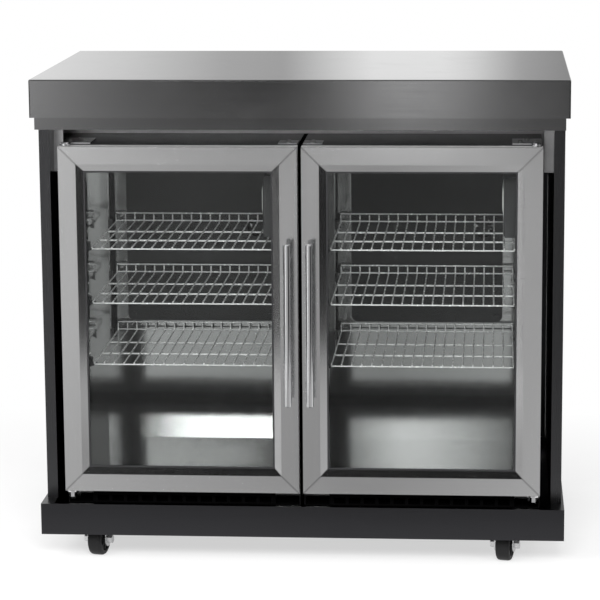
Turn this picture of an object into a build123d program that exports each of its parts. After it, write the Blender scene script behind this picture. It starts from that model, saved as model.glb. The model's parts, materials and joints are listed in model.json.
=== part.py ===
from build123d import *
from math import cos, pi, sin
import os

# An outdoor refrigerator: two glass-door fridges side by side in a steel cabinet on casters.
# Sizes are in millimetres. X runs left to right, Y front to back, and Z up from the floor.
# Depths are measured back from the front edge of the countertop, and depth() turns them into Y.

# Countertop, which runs past the frame at both ends
TOP_OVERHANG = 8.0
TOP_D = 600.0
TOP_H = 71.0
TOP_SHEET = 1.5
TOP_HEM = 18.0
TOP_BEND_R = 2.5

# Frame under the countertop
FRAME_H = 23.0
FRAME_SETBACK = 8.0
RAIL_W = 30.0
RAIL_SHEET = 1.5
STIFFENER_W = 26.0
STIFFENER_H = 15.0
STIFFENER_COUNT = 3

# Side panels, with an outer pan closed by an inner sheet
PANEL_FRONT = 50.0
PANEL_BACK_INSET = 15.0
PANEL_T = 20.0
PANEL_SHEET = 1.2

# Back panel
BACK_SHEET = 1.2
BACK_FLANGE = 12.0
LOUVRE_W = 230.0
LOUVRE_H = 9.0
LOUVRE_OUT = 6.0
LOUVRE_PITCH = 34.0
LOUVRE_COUNT = 9
LOUVRE_BANK_GAP = 194.0
LOUVRE_UP = 215.4
CABLE_HOLE_R = 18.0
CABLE_HOLE_UP = 75.4

# Base, a little wider than the frame
BASE_OUT = 5.0
BASE_BACK_INSET = 5.0
BASE_H = 60.0
BASE_DROP = 33.4
BASE_SHEET = 1.5
BASE_LEDGE = 25.0
BASE_FRONT_HEM = 6.0
BASE_HEM = 12.0
FLOOR_T = 2.0
FLOOR_RIB_W = 40.0
FLOOR_RIB_H = 18.0
FLOOR_RIB_DEPTHS = (215.0, 385.0)

# Brackets and the rail that holds the fridges down
BRACKET_CLEAR = 3.0
BRACKET_H = 90.0
BRACKET_LEG = 30.0
BRACKET_SHEET = 2.0
BRACKET_DEPTH = 100.0
HOLD_RAIL_DEPTH = 217.0
HOLD_RAIL_FOOT = 20.0
HOLD_RAIL_SHEET = 1.5

# Casters
WHEEL_R = 31.5
WHEEL_W = 27.0
WHEEL_EDGE = 3.5
HUB_R = 12.0
HUB_OUT = 2.0
AXLE_R = 4.0
AXLE_HEAD_R = 8.0
AXLE_HEAD_T = 9.0
CASTER_HEAD = 25.0
CASTER_SIDE_INSET = 106.0
CASTER_INSET = 78.0
CASTER_TRAIL = 20.0
CASTER_YAW = 168.0
PLATE_SIDE = 60.0
PLATE_T = 3.0
RACE_R = 19.0
RACE_T = 2.7
KING_R = 4.0
KING_HEAD_R = 7.0
KING_HEAD_T = 2.7
CROWN_T = 3.0
HUB_CLEAR = 1.0
FORK_SHEET = 2.5
FORK_FRONT = 20.0
FORK_REAR = 24.0
FORK_END_R = 14.0
FORK_END_STEPS = 10
PEDAL_PIVOT_Y = 14.0
PEDAL_DROP = 7.5
PEDAL_PIN_R = 2.5
PEDAL_PIN_END = 1.0
PEDAL_CLEAR = 2.0
PEDAL_T = 3.0
PEDAL_LENGTH = 48.0
PEDAL_DROOP = 7.0

# Fridge bodies
FRIDGE_W = 447.0
FRIDGE_GAP = 8.0
SIDE_GAP = 21.0
TOP_CLEAR = 31.6
BODY_H = 694.0
MACHINE_BAY = 130.0
SKIN = 1.0
FOOT_H = 15.0
FOOT_R = 14.0
FOOT_INSET = 34.0
CHASSIS_H = 17.0
CHASSIS_BACK_GAP = 2.7
CHASSIS_SHEET = 1.5
WALL_T = 25.5
ROOF_T = 31.0
BACK_T = 46.0
INSIDE_FLOOR = 43.0
KICK_H = 32.0
KICK_SIDE_INSET = 47.5
KICK_SHEET = 2.0
KICK_SLOTS = 12
KICK_SLOT_W = 22.0
KICK_SLOT_H = 12.0

# Doors
DOOR_FRONT = 15.0
DOOR_T = 29.0
DOOR_TOP_GAP = 1.0
DOOR_FLAT = 33.0
DOOR_BEVEL = 13.0
DOOR_BEVEL_IN = 6.0
DOOR_SHEET = 1.2
DOOR_WRAP = 5.0
PANE_T = 4.0
PANE_GAP = 8.0
PANE_BITE = 13.7
GASKET_T = 6.0
GASKET_INSET = 10.0
GASKET_W = 13.0
GASKET_FOLD = 2.0
SEAL_GAP = 0.3
HANDLE_R = 7.5
HANDLE_L = 307.0
HANDLE_UP = 331.0
HANDLE_X = 16.5
HANDLE_EDGE = 1.0
HANDLE_STANDOFF = 37.5
HANDLE_POST_R = 5.0
HANDLE_POST_INSET = 32.0

# Door hinges
HINGE_INSET = 11.5
HINGE_BACK = 17.0
HINGE_PIN_R = 4.0
HINGE_PIN_L = 16.0
HINGE_BORE_END = 2.0
HINGE_SHEET = 2.5
HINGE_NOSE_R = 10.0
HINGE_W = 55.0
HINGE_ARM_W = 22.0
HINGE_REACH = 74.7
HINGE_HEAD_R = 7.0
HINGE_HEAD_T = 3.0
HINGE_EDGE_GAP = 1.5
HINGE_LEG = 22.0
HINGE_BOLT_L = 10.0
WASHER_R = 8.0
BLANK_W = 36.0
BLANK_D = 50.0
BLANK_T = 1.5

# Inside fittings
SHELF_HEIGHTS = (226.0, 345.0, 450.0)
SHELF_CLEAR = 3.0
SHELF_FRONT = 75.0
SHELF_BACK_GAP = 6.0
SHELF_UP = 19.0
WIRE = 3.0
CROSS_WIRE = 3.6
SHELF_WIRES = 19
PILASTER_W = 16.0
PILASTER_OUT = 16.0
PILASTER_SHEET = 1.2
PILASTER_H = 390.0
PILASTER_FOOT = 185.0
PILASTER_FRONT_INSET = 3.0
PILASTER_BACK_INSET = 47.0
CLIP_OUT = 13.0
CLIP_W = 11.0
CLIP_T = 5.0
CLIP_UP = 9.0
CLIP_DOWN = 9.0
COVER_W = 304.0
COVER_OUT = 6.0
COVER_SHEET = 1.5
COVER_FOOT = 246.0
COVER_CORNER_R = 14.0
RECESS_LAP = 12.0
RECESS_DEPTH = 24.0
RECESS_MARGIN = 6.0
KNOB_R = 5.5
KNOB_T = 5.0
KNOB_INSET = 13.5
KNOB_UP = 11.0
FAN_INSET = 39.0
FAN_UP = 193.0
FAN_R = 18.0
FAN_HUB_R = 7.0
FAN_T = 7.0
FAN_BLADES = 5
BLADE_T = 1.0
BLADE_ROOT = 1.0
BLADE_TWIST = 35.0
GUARD_R = 20.0
GUARD_HUB_R = 11.0
GUARD_SPOKE = 3.0
MOTOR_R = 8.0
MOTOR_T = 7.0
SHAFT_R = 1.5
COIL_W = 190.0
COIL_H = 300.0
COIL_T = 18.0
COIL_FINS = 14
COIL_X = -30.0
LIGHT_W = 46.0
LIGHT_DEPTH = 90.0
LIGHT_H = 115.0
LIGHT_INSET = 46.7
LIGHT_TOP_GAP = 36.0
LIGHT_CHAMFER = 3.0

# Refrigeration at the back
COMPRESSOR_R = 52.0
COMPRESSOR_H = 140.0
COMPRESSOR_X = -70.0
COMPRESSOR_BACK_INSET = 69.0
COMPRESSOR_DOME = 28.0
MOUNT_H = 8.0
MOUNT_R = 9.0
CONDENSER_SIDE_INSET = 33.5
CONDENSER_H = 430.0
CONDENSER_UP = 205.0
CONDENSER_RUNS = 10
CONDENSER_TUBE_R = 2.6
CONDENSER_WIRES = 12
CONDENSER_STANDOFF = 6.0
CONDENSER_WIRE = 1.0
CONDENSER_WIRE_INSET = 20.0
STRIP_INSET = 10.0
STRIP_W = 10.0

# Clearances
FIT = 0.05
REST_GAP = 0.2
EDGE_GAP = 0.3
PANE_CLEAR = 0.3

# Flat sides of the round pieces that repeat
WHEEL_SIDES = 32
BORE_SIDES = 16
ROUND_SIDES = 24
SMALL_SIDES = 12
HEX_SIDES = 6

# Widths worked out from the sizes above, from the fridges outwards
FRAME_W = 2 * (FRIDGE_W + SIDE_GAP + PANEL_T) + FRIDGE_GAP
TOP_W = FRAME_W + 2 * TOP_OVERHANG
BASE_W = FRAME_W + 2 * BASE_OUT
BRACKET_W = SIDE_GAP - BRACKET_CLEAR
INSIDE_W = FRIDGE_W - 2 * WALL_T
SHELF_W = INSIDE_W - 2 * (PILASTER_OUT + CLIP_T + SHELF_CLEAR)
KICK_W = FRIDGE_W - 2 * KICK_SIDE_INSET
RECESS_W = COVER_W - 2 * RECESS_LAP
CONDENSER_W = FRIDGE_W - 2 * CONDENSER_SIDE_INSET
LOUVRE_X = (LOUVRE_BANK_GAP + LOUVRE_W) / 2
KNOB_X = COVER_W / 2 - KNOB_INSET
FAN_X = COVER_W / 2 - FAN_INSET
CASTER_X = BASE_W / 2 - CASTER_SIDE_INSET
HUB_W = WHEEL_W + 2 * HUB_OUT
FORK_GAP = HUB_W + 2 * HUB_CLEAR
PEDAL_W = FORK_GAP - 2 * PEDAL_CLEAR

# Levels and depths worked out from the sizes above
CASTER_H = 2 * WHEEL_R + CASTER_HEAD
BASE_D = TOP_D - BASE_BACK_INSET
PANEL_BACK = TOP_D - PANEL_BACK_INSET
BASE_Z0 = CASTER_H - BASE_DROP
BASE_Z1 = BASE_Z0 + BASE_H
FLOOR_Z = CASTER_H + FLOOR_T
BODY_Z0 = FLOOR_Z + FOOT_H
BODY_Z1 = BODY_Z0 + BODY_H
PANEL_Z1 = BODY_Z1 + TOP_CLEAR
FRAME_Z1 = PANEL_Z1 + FRAME_H
TOP_Z1 = FRAME_Z1 + TOP_H
FOAM_Z0 = BODY_Z0 + CHASSIS_H
INSIDE_Z0 = BODY_Z0 + INSIDE_FLOOR
INSIDE_Z1 = BODY_Z1 - ROOF_T
DOOR_BACK = DOOR_FRONT + DOOR_T
DOOR_Z0 = BODY_Z0 + KICK_H
DOOR_Z1 = BODY_Z1 - DOOR_TOP_GAP
BODY_FRONT = DOOR_BACK + GASKET_T + SEAL_GAP
BODY_BACK = PANEL_BACK - MACHINE_BAY
LINER_BACK = BODY_BACK - BACK_T
CHASSIS_D = PANEL_BACK - BACK_FLANGE - CHASSIS_BACK_GAP - BODY_FRONT
COMPRESSOR_DEPTH = PANEL_BACK - COMPRESSOR_BACK_INSET
HINGE_DEPTH = BODY_FRONT + HINGE_REACH
HINGE_PIN_DEPTH = DOOR_FRONT + HINGE_BACK
HANDLE_DEPTH = DOOR_FRONT - HANDLE_STANDOFF
HANDLE_Z = DOOR_Z0 + HANDLE_UP
FRIDGE_X = (FRIDGE_W + FRIDGE_GAP) / 2
FORK_X = FORK_GAP / 2
FORK_OUT_X = FORK_X + FORK_SHEET
PLATE_Z = CASTER_H - PLATE_T
RACE_Z = PLATE_Z - RACE_T
CROWN_Z1 = RACE_Z - EDGE_GAP
CROWN_Z0 = CROWN_Z1 - CROWN_T
PEDAL_PIVOT_Z = CROWN_Z0 - PEDAL_DROP
COVER_FRONT = LINER_BACK - COVER_OUT
COVER_Z0 = INSIDE_Z0 + COVER_FOOT
RECESS_BACK = LINER_BACK + RECESS_DEPTH
RECESS_Z0 = COVER_Z0 + RECESS_MARGIN
RECESS_Z1 = INSIDE_Z1 - RECESS_MARGIN
FAN_Z = COVER_Z0 + FAN_UP
SHELF_LEVELS = tuple(INSIDE_Z0 + up for up in SHELF_HEIGHTS)
SHELF_D = COVER_FRONT - SHELF_BACK_GAP - SHELF_FRONT
PILASTER_DEPTHS = (SHELF_FRONT + PILASTER_FRONT_INSET, SHELF_FRONT + SHELF_D - PILASTER_BACK_INSET)
LIGHT_FRONT = BODY_FRONT + LIGHT_INSET
LIGHT_FOOT = INSIDE_Z1 - LIGHT_TOP_GAP - LIGHT_H
LOUVRE_FIRST_Z = BASE_Z1 + LOUVRE_UP
CABLE_HOLE_Z = BASE_Z1 + CABLE_HOLE_UP
CONDENSER_FOOT = BODY_Z0 + CONDENSER_UP
ORIGIN_DEPTH = (TOP_D + HANDLE_DEPTH - HANDLE_R) / 2
SIDES = {"left": -1, "right": 1}
SHELF_NAMES = ("bottom", "middle", "top")


def depth(d):
    """Y of a depth measured back from the countertop's front edge."""
    return d - ORIGIN_DEPTH


def block(x0, x1, d0, d1, z0, z1):
    """A box between two X places, two depths and two heights."""
    place = Pos((x0 + x1) / 2, depth((d0 + d1) / 2), (z0 + z1) / 2)
    return place * Box(abs(x1 - x0), abs(d1 - d0), abs(z1 - z0))


def post(x, d, z0, z1, r):
    """A round bar that stands upright."""
    return Pos(x, depth(d), (z0 + z1) / 2) * Cylinder(r, z1 - z0)


def prism(plane, points, length):
    """A straight bar with the outline of these points, pushed along the plane's normal."""
    return extrude(plane * make_face(Polyline(*points, close=True)), length)


def across(x0, x1, outline):
    """A bar along X with an outline of (depth, height) points."""
    return prism(Plane.YZ.offset(x0), [(depth(d), z) for d, z in outline], x1 - x0)


def backward(d0, d1, outline):
    """A bar from front to back with an outline of (x, height) points."""
    plane = Plane(origin=(0, depth(d1), 0), x_dir=(1, 0, 0), z_dir=(0, -1, 0))
    return prism(plane, outline, d1 - d0)


def upward(z0, z1, outline):
    """An upright bar with an outline of (x, depth) points."""
    return prism(Plane.XY.offset(z0), [(x, depth(d)) for x, d in outline], z1 - z0)


def peg(x, z, d0, d1, r):
    """A round bar from front to back."""
    return Pos(x, depth((d0 + d1) / 2), z) * Rot(90, 0, 0) * Cylinder(r, d1 - d0)


def flat_sided(r, sides):
    """A regular outline with its flats at radius r and one of them at the foot."""
    return RegularPolygon(r, sides, major_radius=False, rotation=180 / sides)


def facet_post(x, d, z0, z1, r, sides):
    """An upright bar with flat sides, such as a hexagon head or a ridged foot."""
    return Pos(x, depth(d), z0) * extrude(RegularPolygon(r, sides), z1 - z0)


def facet_peg(x, z, d0, d1, r, sides):
    """A bar with flat sides from front to back."""
    return Pos(x, depth(d1), z) * Rot(90, 0, 0) * extrude(RegularPolygon(r, sides), d1 - d0)


def mitred_ring(profile, x0, x1, z0, z1):
    """Four mitred bars round an upright rectangle, with a section of (inset, depth) points."""
    reach = max(u for u, _ in profile)
    near, far = min(d for _, d in profile), max(d for _, d in profile)
    bars = []
    for z, up in ((z0, 1), (z1, -1)):
        bar = across(x0, x1, [(d, z + up * u) for u, d in profile])
        inner = z + up * reach
        bars.append(bar & backward(near, far, [(x0, z), (x1, z), (x1 - reach, inner), (x0 + reach, inner)]))
    for x, along in ((x0, 1), (x1, -1)):
        bar = upward(z0, z1, [(x + along * u, d) for u, d in profile])
        inner = x + along * reach
        bars.append(bar & backward(near, far, [(x, z0), (x, z1), (inner, z1 - reach), (inner, z0 + reach)]))
    return bars


def inset_box(edges, inset, d0, d1):
    """A box between two depths, drawn in from these edges by the inset."""
    x0, x1, z0, z1 = edges
    return block(x0 + inset, x1 - inset, d0, d1, z0 + inset, z1 - inset)


def pocket_box(x0, x1, d0, d1, z0, z1, wall):
    """The outside of a box lining that is open at its front."""
    return block(x0 - wall, x1 + wall, d0, d1 + wall, z0 - wall, z1 + wall)


def group(name, shapes):
    """Write one sub-part, made of one solid or of several separate ones."""
    solids = [solid for shape in shapes for solid in shape.solids()]
    whole = Compound(label=name, children=solids) if len(solids) > 1 else solids[0]
    whole.label = name
    export_step(whole, f"parts/{name}.step")


# Cabinet

def countertop():
    half = TOP_W / 2
    body = block(-half, half, 0, TOP_D, FRAME_Z1, TOP_Z1)
    upper = body.edges().filter_by(lambda e: e.center().Z > FRAME_Z1 + 1)
    body = fillet(upper, TOP_BEND_R)
    t = TOP_SHEET
    body -= block(-half + t, half - t, t, TOP_D - t, FRAME_Z1 + t, TOP_Z1 - t)
    h = TOP_HEM
    return body - block(-half + h, half - h, h, TOP_D - h, FRAME_Z1 - t, FRAME_Z1 + 2 * t)


def channel(width, height, sheet):
    """Outline of a channel lying on its web, open at the other side."""
    return [
        (0, 0), (width, 0), (width, sheet), (sheet, sheet),
        (sheet, height - sheet), (width, height - sheet), (width, height), (0, height),
    ]


def top_frame():
    half = FRAME_W / 2
    front, back = FRAME_SETBACK, TOP_D - FRAME_SETBACK
    section = [(u, z + PANEL_Z1) for u, z in channel(RAIL_W, FRAME_H, RAIL_SHEET)]
    sides = [
        backward(front, back, [(-half + u, z) for u, z in section]),
        backward(front, back, [(half - u, z) for u, z in section]),
    ]
    ends = [
        across(-half, half, [(front + u, z) for u, z in section]),
        across(-half, half, [(back - u, z) for u, z in section]),
    ]
    rails = sides + [end - sides[0] - sides[1] for end in ends]
    pitch = FRAME_W / (STIFFENER_COUNT + 1)
    w, h, t = STIFFENER_W / 2, STIFFENER_H, RAIL_SHEET
    hat = [(-w, 0), (-w, h), (w, h), (w, 0), (w - t, 0), (w - t, h - t), (t - w, h - t), (t - w, 0)]
    for i in range(STIFFENER_COUNT):
        x = -half + pitch * (i + 1)
        outline = [(x + u, FRAME_Z1 - h + z) for u, z in hat]
        rails.append(backward(front + RAIL_W, back - RAIL_W, outline))
    return rails


def side_panel(side):
    outer = side * FRAME_W / 2
    inner = outer - side * PANEL_T
    t = PANEL_SHEET
    pan = block(outer, inner + side * t, PANEL_FRONT, PANEL_BACK, BASE_Z1, PANEL_Z1)
    hollow = block(outer - side * t, inner, PANEL_FRONT + t, PANEL_BACK - t, BASE_Z1 + t, PANEL_Z1 - t)
    lining = block(inner + side * t, inner, PANEL_FRONT, PANEL_BACK, BASE_Z1, PANEL_Z1)
    return [pan - hollow, lining]


def back_panel():
    half = FRAME_W / 2 - PANEL_T - EDGE_GAP
    t, flange = BACK_SHEET, BACK_FLANGE
    panel = block(-half, half, PANEL_BACK - flange, PANEL_BACK, BASE_Z1, PANEL_Z1)
    panel -= block(-half + t, half - t, PANEL_BACK - flange - t, PANEL_BACK - t, BASE_Z1 + t, PANEL_Z1 - t)
    for centre in (-LOUVRE_X, LOUVRE_X):
        for i in range(LOUVRE_COUNT):
            x0, x1 = centre - LOUVRE_W / 2, centre + LOUVRE_W / 2
            z = LOUVRE_FIRST_Z + i * LOUVRE_PITCH
            panel -= block(x0, x1, PANEL_BACK - 2 * t, PANEL_BACK + t, z, z + LOUVRE_H)
            lip = [
                (PANEL_BACK - t, z + LOUVRE_H), (PANEL_BACK - t, z + LOUVRE_H + t),
                (PANEL_BACK + LOUVRE_OUT, z + t), (PANEL_BACK + LOUVRE_OUT, z),
            ]
            panel += across(x0, x1, lip)
    return panel - peg(0, CABLE_HOLE_Z, PANEL_BACK - 2 * t, PANEL_BACK + t, CABLE_HOLE_R)


def base_frame():
    half = BASE_W / 2
    t, h = BASE_SHEET, BASE_H

    def wall(top, bottom):
        return [
            (0, 0), (bottom, 0), (bottom, t), (t, t), (t, h - t), (top, h - t), (top, h), (0, h),
        ]

    front = [(u, BASE_Z0 + z) for u, z in wall(BASE_FRONT_HEM, BASE_HEM)]
    back = [(BASE_D - u, BASE_Z0 + z) for u, z in wall(BASE_FRONT_HEM, BASE_HEM)]
    side = [(u, BASE_Z0 + z) for u, z in wall(BASE_LEDGE, BASE_HEM)]
    sides = [
        backward(0, BASE_D, [(-half + u, z) for u, z in side]),
        backward(0, BASE_D, [(half - u, z) for u, z in side]),
    ]
    ends = [across(-half, half, front), across(-half, half, back)]
    return sides + [end - sides[0] - sides[1] for end in ends]


def base_floor():
    half = BASE_W / 2 - BASE_SHEET
    t, w, h = BASE_SHEET, FLOOR_RIB_W / 2, FLOOR_RIB_H
    pieces = [block(-half, half, BASE_SHEET, BASE_D - BASE_SHEET, CASTER_H, FLOOR_Z)]
    hat = [(-w, h), (-w, 0), (w, 0), (w, h), (w - t, h), (w - t, t), (t - w, t), (t - w, h)]
    for d in FLOOR_RIB_DEPTHS:
        outline = [(d + u, CASTER_H - h + z) for u, z in hat]
        pieces.append(across(-half, half, outline))
    return pieces


def corner_brackets():
    pieces = []
    t = BRACKET_SHEET
    for side in SIDES.values():
        wall = side * (FRAME_W / 2 - PANEL_T)
        for d, step in ((BRACKET_DEPTH, 1), (TOP_D - BRACKET_DEPTH, -1)):
            face = block(wall, wall - side * BRACKET_W, d, d + step * t, PANEL_Z1 - BRACKET_H, PANEL_Z1)
            leg = block(wall, wall - side * t, d, d + step * BRACKET_LEG, PANEL_Z1 - BRACKET_H, PANEL_Z1)
            pieces.append(face + leg)
    return pieces


def hold_rail():
    half = FRAME_W / 2 - PANEL_T - EDGE_GAP
    t, d, z = HOLD_RAIL_SHEET, HOLD_RAIL_DEPTH, BODY_Z1 + EDGE_GAP
    outline = [
        (d, z), (d + HOLD_RAIL_FOOT, z), (d + HOLD_RAIL_FOOT, z + t),
        (d + t, z + t), (d + t, PANEL_Z1), (d, PANEL_Z1),
    ]
    return across(-half, half, outline)


# Casters, made about their swivel axis with the wheel behind it, then put in place

def caster_places():
    """Name, side and depth of each caster."""
    for end, d in (("front", CASTER_INSET), ("rear", BASE_D - CASTER_INSET)):
        for name, side in SIDES.items():
            yield f"{end}_{name}", side, d


def at_caster(side, d):
    return Pos(side * CASTER_X, depth(d), 0) * Rot(0, 0, CASTER_YAW)


def caster_plate():
    plate = Pos(0, 0, PLATE_Z + PLATE_T / 2) * Box(PLATE_SIDE, PLATE_SIDE, PLATE_T)
    race = Pos(0, 0, RACE_Z) * extrude(RegularPolygon(RACE_R, ROUND_SIDES), RACE_T)
    head_z = CROWN_Z0 - EDGE_GAP - KING_HEAD_T
    pin = Pos(0, 0, (head_z + RACE_Z) / 2) * Cylinder(KING_R, RACE_Z - head_z)
    head = Pos(0, 0, head_z) * extrude(RegularPolygon(KING_HEAD_R, HEX_SIDES), KING_HEAD_T)
    return plate + race + pin + head


def crosswise(y, z, length, r):
    """A round bar along X, centred beside the swivel axis."""
    return Pos(0, y, z) * Rot(0, 90, 0) * Cylinder(r, length)


def cross_bore(y, z, r):
    """A flat-sided bore through both legs, as wide as a round one of radius r."""
    length = 4 * FORK_OUT_X
    return Pos(-length / 2, y, z) * Rot(0, 90, 0) * extrude(flat_sided(r, BORE_SIDES), length)


def fork(braked):
    crown = Pos(0, (FORK_REAR - FORK_FRONT) / 2, (CROWN_Z0 + CROWN_Z1) / 2)
    body = crown * Box(2 * FORK_OUT_X, FORK_REAR + FORK_FRONT, CROWN_T)
    body -= Pos(0, 0, CROWN_Z0 - CROWN_T) * extrude(flat_sided(KING_R + FIT, BORE_SIDES), 3 * CROWN_T)
    turns = [pi * i / FORK_END_STEPS for i in range(FORK_END_STEPS + 1)]
    outline = [(-FORK_FRONT, CROWN_Z0), (FORK_REAR, CROWN_Z0)]
    outline += [(CASTER_TRAIL + FORK_END_R * cos(a), WHEEL_R - FORK_END_R * sin(a)) for a in turns]
    leg = prism(Plane.YZ.offset(FORK_X), outline, FORK_SHEET)
    body += leg
    body += mirror(leg, Plane.YZ)
    body -= cross_bore(CASTER_TRAIL, WHEEL_R, AXLE_R + FIT)
    if braked:
        body -= cross_bore(PEDAL_PIVOT_Y, PEDAL_PIVOT_Z, PEDAL_PIN_R + FIT)
    return body


def wheel():
    tyre = extrude(flat_sided(WHEEL_R, WHEEL_SIDES), WHEEL_W / 2, both=True)
    ends = tyre.faces().sort_by(Axis.Z)
    tyre = chamfer(ends[0].edges() + ends[-1].edges(), WHEEL_EDGE)
    disc = tyre + extrude(RegularPolygon(HUB_R, ROUND_SIDES), HUB_W / 2, both=True)
    disc -= Cylinder(AXLE_R + FIT, 2 * HUB_W)
    return Pos(0, CASTER_TRAIL, WHEEL_R) * Rot(0, 90, 0) * Rot(0, 0, 90) * disc


def axle():
    shaft = crosswise(CASTER_TRAIL, WHEEL_R, 2 * FORK_OUT_X, AXLE_R)
    head = extrude(RegularPolygon(AXLE_HEAD_R, HEX_SIDES), AXLE_HEAD_T)
    for side in SIDES.values():
        turn = Rot(0, 90 * side, 0)
        shaft += Pos(side * FORK_OUT_X, CASTER_TRAIL, WHEEL_R) * turn * head
    return shaft


def brake_pedal():
    pin = crosswise(0, 0, 2 * (FORK_OUT_X + PEDAL_PIN_END), PEDAL_PIN_R)
    hub = Box(PEDAL_W, 2 * PEDAL_PIN_R + PEDAL_T, 2 * PEDAL_PIN_R + PEDAL_T)
    plate = Pos(0, PEDAL_LENGTH / 2, 0) * Box(PEDAL_W, PEDAL_LENGTH, PEDAL_T)
    tread = Pos(0, PEDAL_LENGTH - PEDAL_T, PEDAL_T) * Box(PEDAL_W, 2 * PEDAL_T, PEDAL_T)
    lever = Rot(-PEDAL_DROOP, 0, 0) * (pin + hub + plate + tread)
    return Pos(0, PEDAL_PIVOT_Y, PEDAL_PIVOT_Z) * lever


# Fridge bodies, each made about its own centre line at x

def case(x):
    half = FRIDGE_W / 2
    t = SKIN
    skin = block(x - half, x + half, BODY_FRONT, BODY_BACK, BODY_Z0, BODY_Z1)
    skin -= block(x - half + t, x + half - t, BODY_FRONT - t, BODY_BACK - t, BODY_Z0 - t, BODY_Z1 - t)
    return skin - block(x - half + t, x + half - t, BODY_BACK - 2 * t, BODY_BACK + t, BODY_Z0 - t, FOAM_Z0)


def foam(x):
    half = FRIDGE_W / 2 - SKIN
    inside = INSIDE_W / 2
    body = block(x - half, x + half, BODY_FRONT + SKIN, BODY_BACK - SKIN, FOAM_Z0, BODY_Z1 - SKIN)
    body -= pocket_box(x - inside, x + inside, BODY_FRONT, LINER_BACK, INSIDE_Z0, INSIDE_Z1, SKIN)
    r = RECESS_W / 2
    return body - pocket_box(x - r, x + r, LINER_BACK, RECESS_BACK, RECESS_Z0, RECESS_Z1, SKIN)


def liner(x):
    half = FRIDGE_W / 2 - SKIN
    inside = INSIDE_W / 2
    r = RECESS_W / 2
    body = block(x - half, x + half, BODY_FRONT, BODY_FRONT + SKIN, FOAM_Z0, BODY_Z1 - SKIN)
    body += pocket_box(x - inside, x + inside, BODY_FRONT, LINER_BACK, INSIDE_Z0, INSIDE_Z1, SKIN)
    body += pocket_box(x - r, x + r, LINER_BACK, RECESS_BACK, RECESS_Z0, RECESS_Z1, SKIN)
    body -= block(x - inside, x + inside, BODY_FRONT - SKIN, LINER_BACK, INSIDE_Z0, INSIDE_Z1)
    return body - block(x - r, x + r, LINER_BACK - SKIN, RECESS_BACK, RECESS_Z0, RECESS_Z1)


def chassis(x):
    half = FRIDGE_W / 2 - SKIN
    t, h = CHASSIS_SHEET, CHASSIS_H
    outline = [
        (-half, 0), (half, 0), (half, h), (half - t, h),
        (half - t, t), (t - half, t), (t - half, h), (-half, h),
    ]
    return backward(BODY_FRONT, BODY_FRONT + CHASSIS_D, [(x + u, BODY_Z0 + z) for u, z in outline])


def feet(x):
    places = [(u, d) for u in (-1, 1) for d in (BODY_FRONT + FOOT_INSET, BODY_BACK - FOOT_INSET)]
    reach = FRIDGE_W / 2 - FOOT_INSET
    return [facet_post(x + u * reach, d, FLOOR_Z, BODY_Z0, FOOT_R, SMALL_SIDES) for u, d in places]


def kick_grille(x):
    half = KICK_W / 2
    z0, z1 = BODY_Z0 + KICK_SHEET, DOOR_Z0 - KICK_SHEET
    plate = block(x - half, x + half, BODY_FRONT - KICK_SHEET, BODY_FRONT, z0, z1)
    pitch = (KICK_W - KICK_SLOT_W / 2) / KICK_SLOTS
    w, slot_z = KICK_SLOT_W / 2, z0 + KICK_SHEET
    for i in range(KICK_SLOTS):
        u = x + (i - (KICK_SLOTS - 1) / 2) * pitch
        plate -= block(u - w, u + w, 0, BODY_FRONT + KICK_SHEET, slot_z, slot_z + KICK_SLOT_H)
    return plate


# Fittings inside each fridge

def pilasters(x):
    pieces = []
    t, z0 = PILASTER_SHEET, INSIDE_Z0 + PILASTER_FOOT
    for side in SIDES.values():
        wall = x + side * INSIDE_W / 2
        face = wall - side * PILASTER_OUT
        for d in PILASTER_DEPTHS:
            e = d + PILASTER_W
            outline = [
                (wall, d), (face, d), (face, e), (wall, e),
                (wall, e - t), (face + side * t, e - t), (face + side * t, d + t), (wall, d + t),
            ]
            pieces.append(upward(z0, z0 + PILASTER_H, outline))
    return pieces


def clips(x):
    """Hooked clips that stand off the pilasters, with a ledge under the edge of each shelf."""
    pieces = []
    for level in SHELF_LEVELS:
        for side in SIDES.values():
            face = x + side * (INSIDE_W / 2 - PILASTER_OUT)
            seat = level - WIRE / 2 - REST_GAP
            top, foot = level + CLIP_UP, level - CLIP_DOWN
            outline = [
                (face, foot), (face - side * CLIP_OUT, seat - CLIP_T / 2), (face - side * CLIP_OUT, seat),
                (face - side * CLIP_T, seat), (face - side * CLIP_T, top), (face, top),
            ]
            for d in PILASTER_DEPTHS:
                middle = d + PILASTER_W / 2
                pieces.append(backward(middle - CLIP_W / 2, middle + CLIP_W / 2, outline))
    return pieces


def shelf(x, level):
    half, w = SHELF_W / 2, WIRE
    z0, z1 = level - w / 2, level + w / 2
    back, top = SHELF_FRONT + SHELF_D, level + SHELF_UP
    bent = [
        (SHELF_FRONT + w, z0), (back, z0), (back, top - w),
        (back - w, top - w), (back - w, z1), (SHELF_FRONT + w, z1),
    ]
    pitch = (SHELF_W - w) / (SHELF_WIRES - 1)
    grid = block(x - half, x + half, SHELF_FRONT, SHELF_FRONT + w, z0, z1)
    grid += block(x - half, x + half, back - w, back, top - w, top)
    for i in range(SHELF_WIRES):
        left = x - half + i * pitch
        grid += across(left, left + w, bent)
    pieces = [grid]
    c = CROSS_WIRE
    for share in (1 / 3, 2 / 3, 1):
        d = SHELF_FRONT + SHELF_D * share - c
        pieces.append(block(x - half + CLIP_OUT, x + half - CLIP_OUT, d, d + c, z0 - c, z0))
    return pieces


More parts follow.
